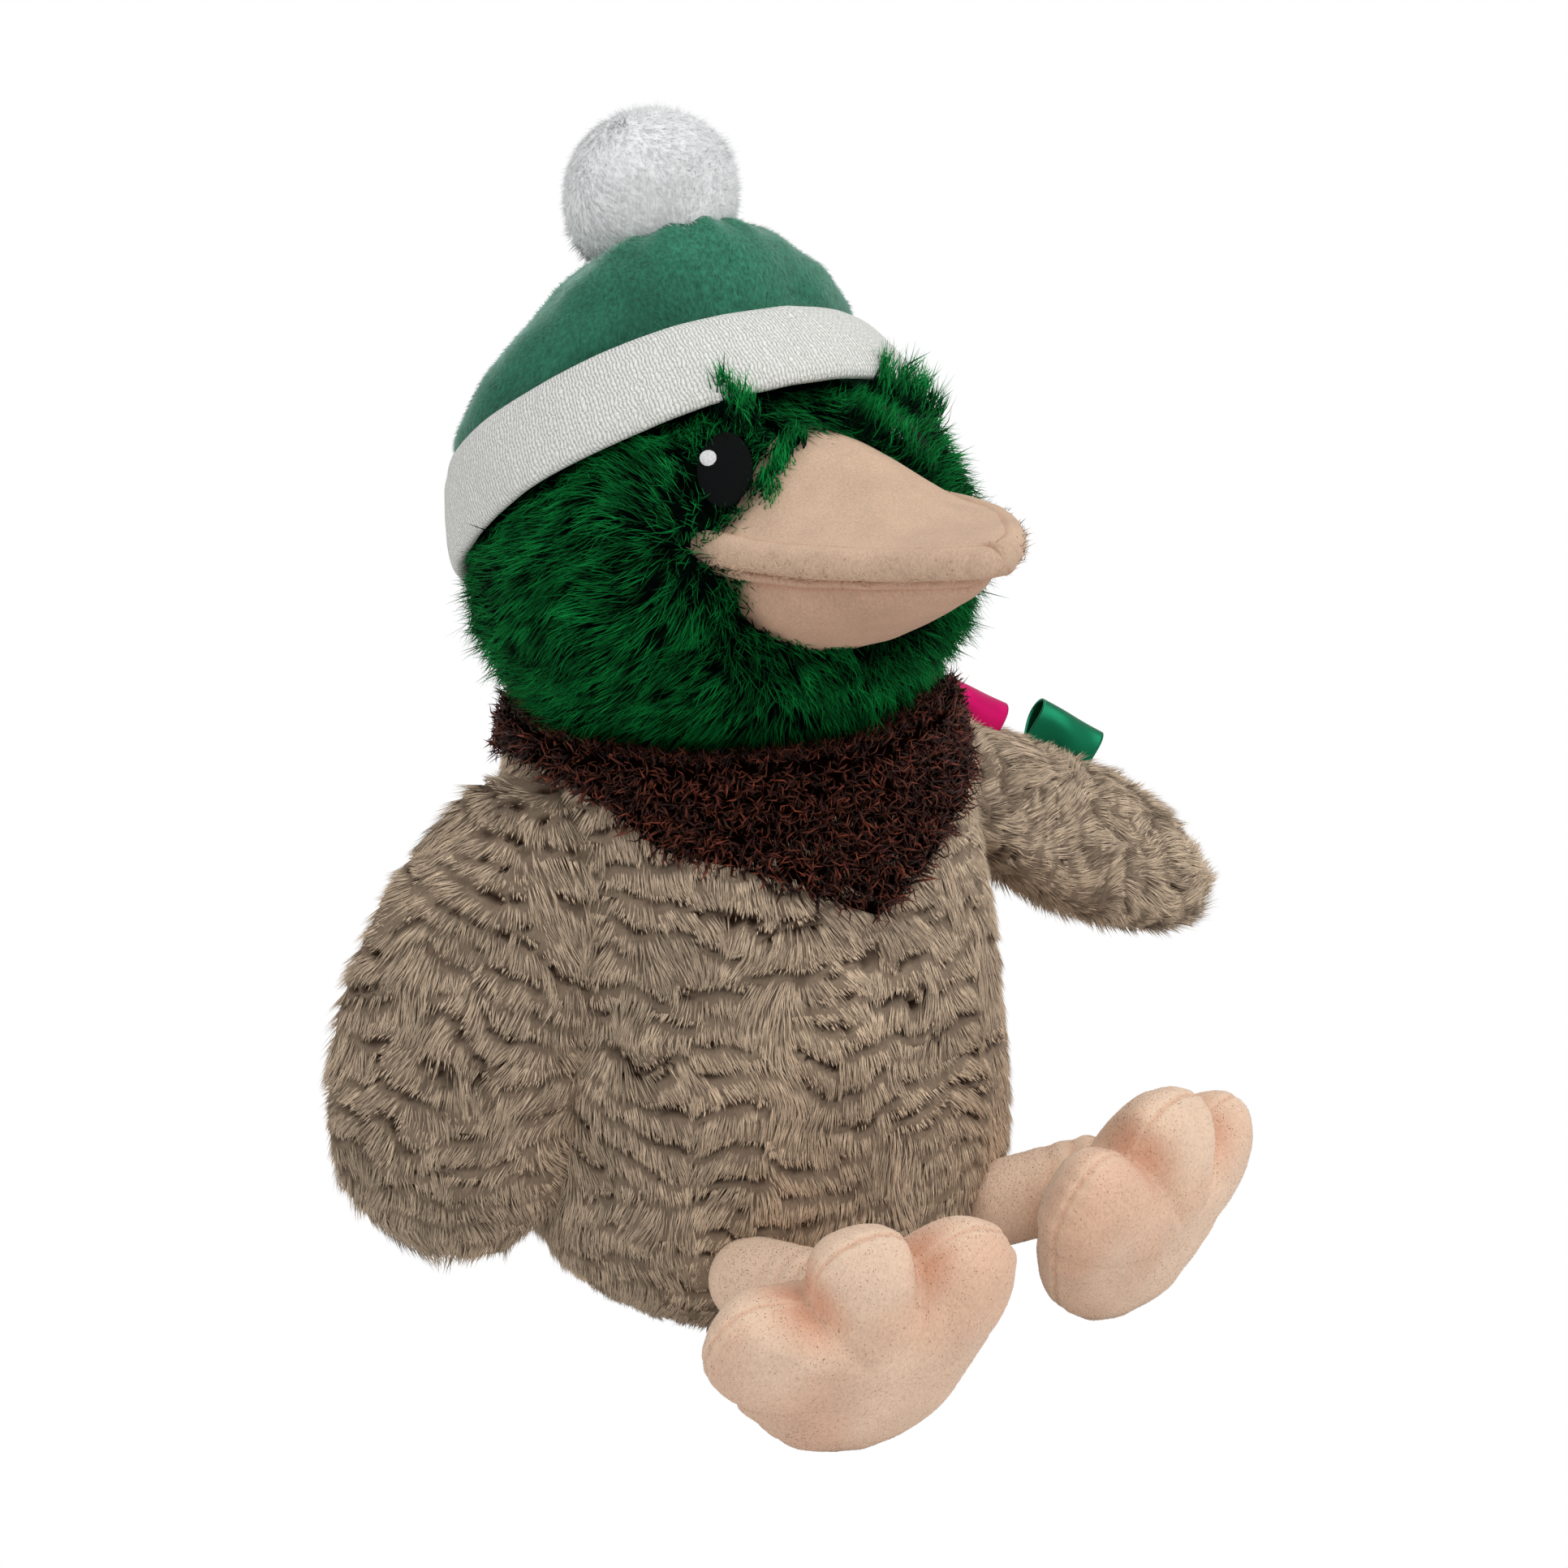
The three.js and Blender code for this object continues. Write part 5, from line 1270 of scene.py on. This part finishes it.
class DUCK_OT_feet(bpy.types.Operator):
    """Builds the legs and the three-toed feet"""
    bl_idname = "duck.feet"
    bl_label = "Legs and feet"

    def execute(self, context):
        limbs = context.scene.duck_limbs
        material = velour_material("foot_velour", limbs.foot_colour, limbs.foot_crease, sheen=0.4, brushed=0.05,
                                   tint=(1, 0.88, 0.76, 1))
        for side, sign in SIDES.items():
            self.dress(limbs, f"foot_{side}", *self.foot(limbs, side, sign), material, -1, 0.75, FOOT_FIBRES,
                       63 + sign)
            self.dress(limbs, f"leg_{side}", *self.leg(limbs, side), material, 1, 0.6, LEG_FIBRES, 73)
        return {"FINISHED"}

    @staticmethod
    def dress(limbs, name, points, tone, material, outward, fill, fibres, seed):
        """Cloth and nap over a limb's points"""
        made = closed_grid(f"{name}_velour", points, tone, material, flip=outward < 0)
        finish_piece(made, name, "peach_velour", (name,), fill)
        fibre = peach_fibre("peach_nap", limbs.foot_colour, limbs.foot_crease, spread=0.15, reach=(-1.0, 0.3),
                            mottle=0.05)
        nap(f"{name}_nap", points, fibres, seed, outward, FOOT_NAP, tone, fibre, name, "peach_velour")

    @staticmethod
    def foot(limbs, side, sign):
        angle = round_places(FOOT_GRID[1])
        fold = np.linspace(0.004, 0.996, FOOT_GRID[0])[:, None] * np.pi
        edge = foot_outline(limbs, angle)
        for toe, notch in zip((-1, 1), NOTCHES):
            heel = np.pi / 2 - toe * np.pi / 2
            edge = edge - TOE_NOTCH * bell(angle - notch, 0.17)
            for whole in (0, TURN):
                edge = edge + HEEL_CORNER * bell(angle - heel - whole + toe * 0.04, 0.24)
        reach = edge * np.sin(fold) ** 0.8
        x, z = reach * np.cos(angle), reach * np.sin(angle)
        thick = limbs.foot_half_thickness * np.cos(fold)
        # Creases run from the two notches between the toes towards the palm's middle
        crease = np.zeros_like(x)
        for notch in NOTCHES:
            ahead = x * math.cos(notch) + z * math.sin(notch)
            off = x * math.sin(notch) - z * math.cos(notch)
            crease = np.maximum(crease, bell(off, 5.0 * MM) * smooth(12 * MM, 25 * MM, ahead))
        from_seam = fold - np.pi / 2
        seam = bell(from_seam, 0.05)
        local = stack(x, thick * (1 - 0.38 * crease), z)
        pucker = 0.22 * MM * np.cos(angle * 46 + 3 * np.sin(angle * 5)) * bell(from_seam, 0.35)
        lump = waves(local, (0.7 * MM, 11 * MM, 40 + sign), (0.25 * MM, 4 * MM, 50 + sign))
        local = local + unit(stack(x, thick, z)) * (pucker + lump - 0.4 * MM * seam)[..., None] - [0, PALM_OFFSET, 0]
        splay, lean, roll = (math.radians(a) for a in FOOT_TURNS[side])
        turn = rotation("Z", splay * sign) @ rotation("X", lean) @ rotation("Y", roll * sign)
        points = out_of((np.array(ANKLES[side]), turn), local)
        points[..., 2] = np.maximum(points[..., 2], 0)
        # The tone's first value: warm patches of the cloth's own colour, and painted shade in the creases and along
        # the seam; its second value: a painted highlight on the rims either side of the seam
        warmth_and_shade = 0.3 * smooth(-0.1, 0.6, noise(local, 15 * MM, 90 + sign))
        warmth_and_shade = np.clip(np.maximum(crease * 0.75, warmth_and_shade) * (1 - seam) + 0.4 * seam, 0, 1)
        return points, stack(warmth_and_shade, 0.4 * bell(from_seam, 0.12) * (1 - seam), 0)

    @staticmethod
    def leg(limbs, side):
        hip, ankle = np.array(HIPS[side]), np.array(ANKLES[side])
        line = unit(ankle - hip)
        across = unit(np.cross(line, [0, 0, 1.0]))
        run, radius = np.linalg.norm(ankle - hip), limbs.leg_radius
        angle = round_places(LEG_GRID[1])
        at = np.linspace(0.01, 0.99, LEG_GRID[0])[:, None] * (run + 2 * radius) - radius
        size = rounded(np.maximum(-at, at - run) / radius) * radius
        wrinkle = 0.22 * MM * np.cos(at / (5.5 * MM) * TURN + 1.5 * np.sin(angle)) * smooth(run * 0.2, run, at)
        size = size + wrinkle * (size > 0.5 * radius)
        local = stack(at, size * np.cos(angle), size * np.sin(angle))
        points = out_of((hip, np.stack([line, across, np.cross(across, line)], 1)), local)
        # Painted shade in the hollows of the wrinkles
        return points, stack(np.clip(-wrinkle / (0.9 * MM), 0, 0.5), 0, 0)


class DUCK_OT_ribbons(bpy.types.Operator):
    """Builds the satin ribbon loops in the left wing's seam"""
    bl_idname = "duck.ribbons"
    bl_label = "Ribbons"

    def execute(self, context):
        limbs = context.scene.duck_limbs
        for name, share in RIBBON_SHARES.items():
            place, along, out, across = self.seat(limbs, share)
            along, across = turned(along, across, RIBBON_TWIST)
            along, out = turned(along, out, -RIBBON_ROLLS[name])
            shift = RIBBON_SHIFTS[name]
            tall = RIBBON_HEIGHT - RIBBON_BEND
            legs = np.linspace(-RIBBON_SEWN_IN, tall, 25)
            turn = np.linspace(0, np.pi, 21)[1:-1]
            side = RIBBON_BEND * (0.2 + 0.8 * smooth(-3 * MM, tall, legs))
            off = np.concatenate([side, RIBBON_BEND * np.cos(turn), -side[::-1]])[:, None]
            up = np.concatenate([legs, tall + RIBBON_BEND * np.sin(turn), legs[::-1]])[:, None]
            u = np.linspace(0, 1, 31)[None, :]
            ripple = 0.25 * MM * np.sin(u * 7 + up / MM * 0.35)
            local = stack((u - 0.5) * RIBBON_WIDTH, up, off + ripple)
            points = out_of((place + along * shift[0] + out * shift[1], np.stack([along, out, across], 1)), local)
            made = self.strip(f"ribbon_{name}_satin", points, self.satin(name, getattr(limbs, name)))
            finish_piece(made, "wing_left", f"{name}_satin", (f"ribbon_loop_{name}",))
            run = np.linalg.norm(np.diff(points[:, 15], axis=0), axis=1).sum()
        return {"FINISHED"}

    @staticmethod
    def satin(name, tint):
        nodes = Nodes(f"{name}_satin", {"Roughness": 0.3, "Metallic": 0.85, "Anisotropic": 0.6,
                                        "Specular IOR Level": 0.5})
        uv = nodes.add("UVMap", uv_map="OFBake").outputs["UV"]
        weave = nodes.add("TexWave", {"Vector": uv, "Scale": 60.0, "Distortion": 0.4}, wave_type="BANDS",
                          bands_direction="Y").outputs["Fac"]
        nodes.set({"Base Color": nodes.mix(weave, rgba(tint, 0.85), rgba(tint, 1.12))})
        nodes.bump(weave, 0.05 * MM, 0.3)
        return nodes.material

    @staticmethod
    def seat(limbs, share):
        """A ribbon's place on the left wing, with its directions: along the wing, outwards and across"""
        v = math.asin((share + WING_ROOT) / (1 + WING_ROOT)) * 2 / math.pi

        def at(u, v, growth=0.0):
            return wing_surface(limbs, "left", growth)(np.array([u]), np.array([v]))[0]

        u = -RIBBON_TURN / TURN
        place = at(u, v)
        along = unit(at(0, v + 0.01) - at(0, v - 0.01))
        out = unit(flattened(unit(at(u, v, 1 * MM) - place), along))
        return place, along, out, np.cross(out, along)

    @staticmethod
    def strip(name, points, material):
        """A strip of ribbon with its thickness"""
        rows, columns = points.shape[:2]
        faces, uv = quads(rows, columns)
        made = object_from(name, points.reshape(-1, 3), [faces], uv / [columns - 1, rows - 1], None, material)
        thick = made.modifiers.new("Thickness", "SOLIDIFY")
        thick.thickness, thick.offset = RIBBON_THICKNESS, 0
        return made


def towards(azimuth, elevation):
    """Direction from the duck to a lamp or the camera, from degrees"""
    a, e = math.radians(azimuth), math.radians(elevation)
    return Vector((math.sin(a) * math.cos(e), -math.cos(a) * math.cos(e), math.sin(e)))


class DUCK_OT_stage(bpy.types.Operator):
    """Sets the floor, the lights and the camera"""
    bl_idname = "duck.stage"
    bl_label = "Stage"

    def execute(self, context):
        scene = context.scene
        scene.view_settings.view_transform = "Standard"
        world = bpy.data.worlds.new("Studio")
        scene.world = world
        world.use_nodes = True
        tree = world.node_tree
        back = tree.nodes["Background"]
        path = tree.nodes.new("ShaderNodeLightPath")
        strength = tree.nodes.new("ShaderNodeMapRange")
        strength.inputs["To Min"].default_value = 0.55
        strength.inputs["To Max"].default_value = 1.0
        tree.links.new(path.outputs["Is Camera Ray"], strength.inputs["Value"])
        tree.links.new(strength.outputs["Result"], back.inputs["Strength"])
        back.inputs["Color"].default_value = (1, 1, 1, 1)

        bpy.ops.mesh.primitive_plane_add(size=3.0, location=(0, 0, -0.6 * MM))
        floor = context.object
        floor.name = "floor"
        nodes = Nodes("floor_paint", {"Base Color": (0.8, 0.8, 0.8, 1)})
        white = nodes.add("Emission", {"Color": (1, 1, 1, 1), "Strength": 1.0})
        seen = nodes.add("LightPath").outputs["Is Camera Ray"]
        mixed = nodes.add("MixShader", {0: seen, 1: nodes.shader.outputs[0], 2: white.outputs[0]})
        nodes.feed(nodes.tree.nodes["Material Output"], {"Surface": mixed.outputs[0]})
        floor.data.materials.append(nodes.material)

        for name, azimuth, elevation, distance, size, power in LAMPS:
            lamp = bpy.data.lights.new(name, "AREA")
            lamp.shape, lamp.size, lamp.energy = "DISK", size, power
            made = bpy.data.objects.new(name, lamp)
            away = towards(azimuth, elevation)
            made.location = LAMPS_AIM + away * distance
            made.rotation_euler = away.to_track_quat("Z", "Y").to_euler()
            scene.collection.objects.link(made)

        camera = bpy.data.cameras.new("camera")
        camera.sensor_width, camera.lens = 36.0, FOCAL_LENGTH
        camera.clip_start, camera.clip_end = 0.01, 20
        made = bpy.data.objects.new("camera", camera)
        away = towards(CAMERA_AZIMUTH, CAMERA_ELEVATION)
        a = math.radians(CAMERA_AZIMUTH)
        right = Vector((math.cos(a), math.sin(a), 0))
        up = away.cross(right)
        target = right * CAMERA_RIGHT + up * CAMERA_UP
        made.matrix_world = Matrix.Translation(target + away * CAMERA_DISTANCE) \
            @ Matrix((right, up, away)).transposed().to_4x4()
        scene.collection.objects.link(made)
        scene.camera = made
        return {"FINISHED"}


PIECES = (DUCK_OT_trunk, DUCK_OT_wings, DUCK_OT_tail, DUCK_OT_bib, DUCK_OT_head, DUCK_OT_eyes, DUCK_OT_bill,
          DUCK_OT_hat, DUCK_OT_pompom, DUCK_OT_feet, DUCK_OT_ribbons, DUCK_OT_stage)


class DUCK_PT_panel(bpy.types.Panel):
    """Lists the duck's sizes and pieces"""
    bl_idname = "DUCK_PT_panel"
    bl_label = "Plush duck"
    bl_space_type = "VIEW_3D"
    bl_region_type = "UI"
    bl_category = "Duck"

    def draw(self, context):
        for piece in PIECES:
            self.layout.operator(piece.bl_idname)
        for name, kind in SETTINGS.items():
            box = self.layout.box()
            box.label(text=kind.__doc__)
            for key in kind.__annotations__:
                box.prop(getattr(context.scene, name), key)


def register():
    for kind in (*SETTINGS.values(), *PIECES, DUCK_PT_panel):
        bpy.utils.register_class(kind)
    for name, kind in SETTINGS.items():
        setattr(bpy.types.Scene, name, PointerProperty(type=kind))


def unregister():
    for name in SETTINGS:
        delattr(bpy.types.Scene, name)
    for kind in (DUCK_PT_panel, *reversed(PIECES), *reversed(SETTINGS.values())):
        bpy.utils.unregister_class(kind)


def main():
    register()
    for piece in PIECES:
        group, name = piece.bl_idname.split(".")
        getattr(getattr(bpy.ops, group), name)()


if __name__ == "__main__":
    main()
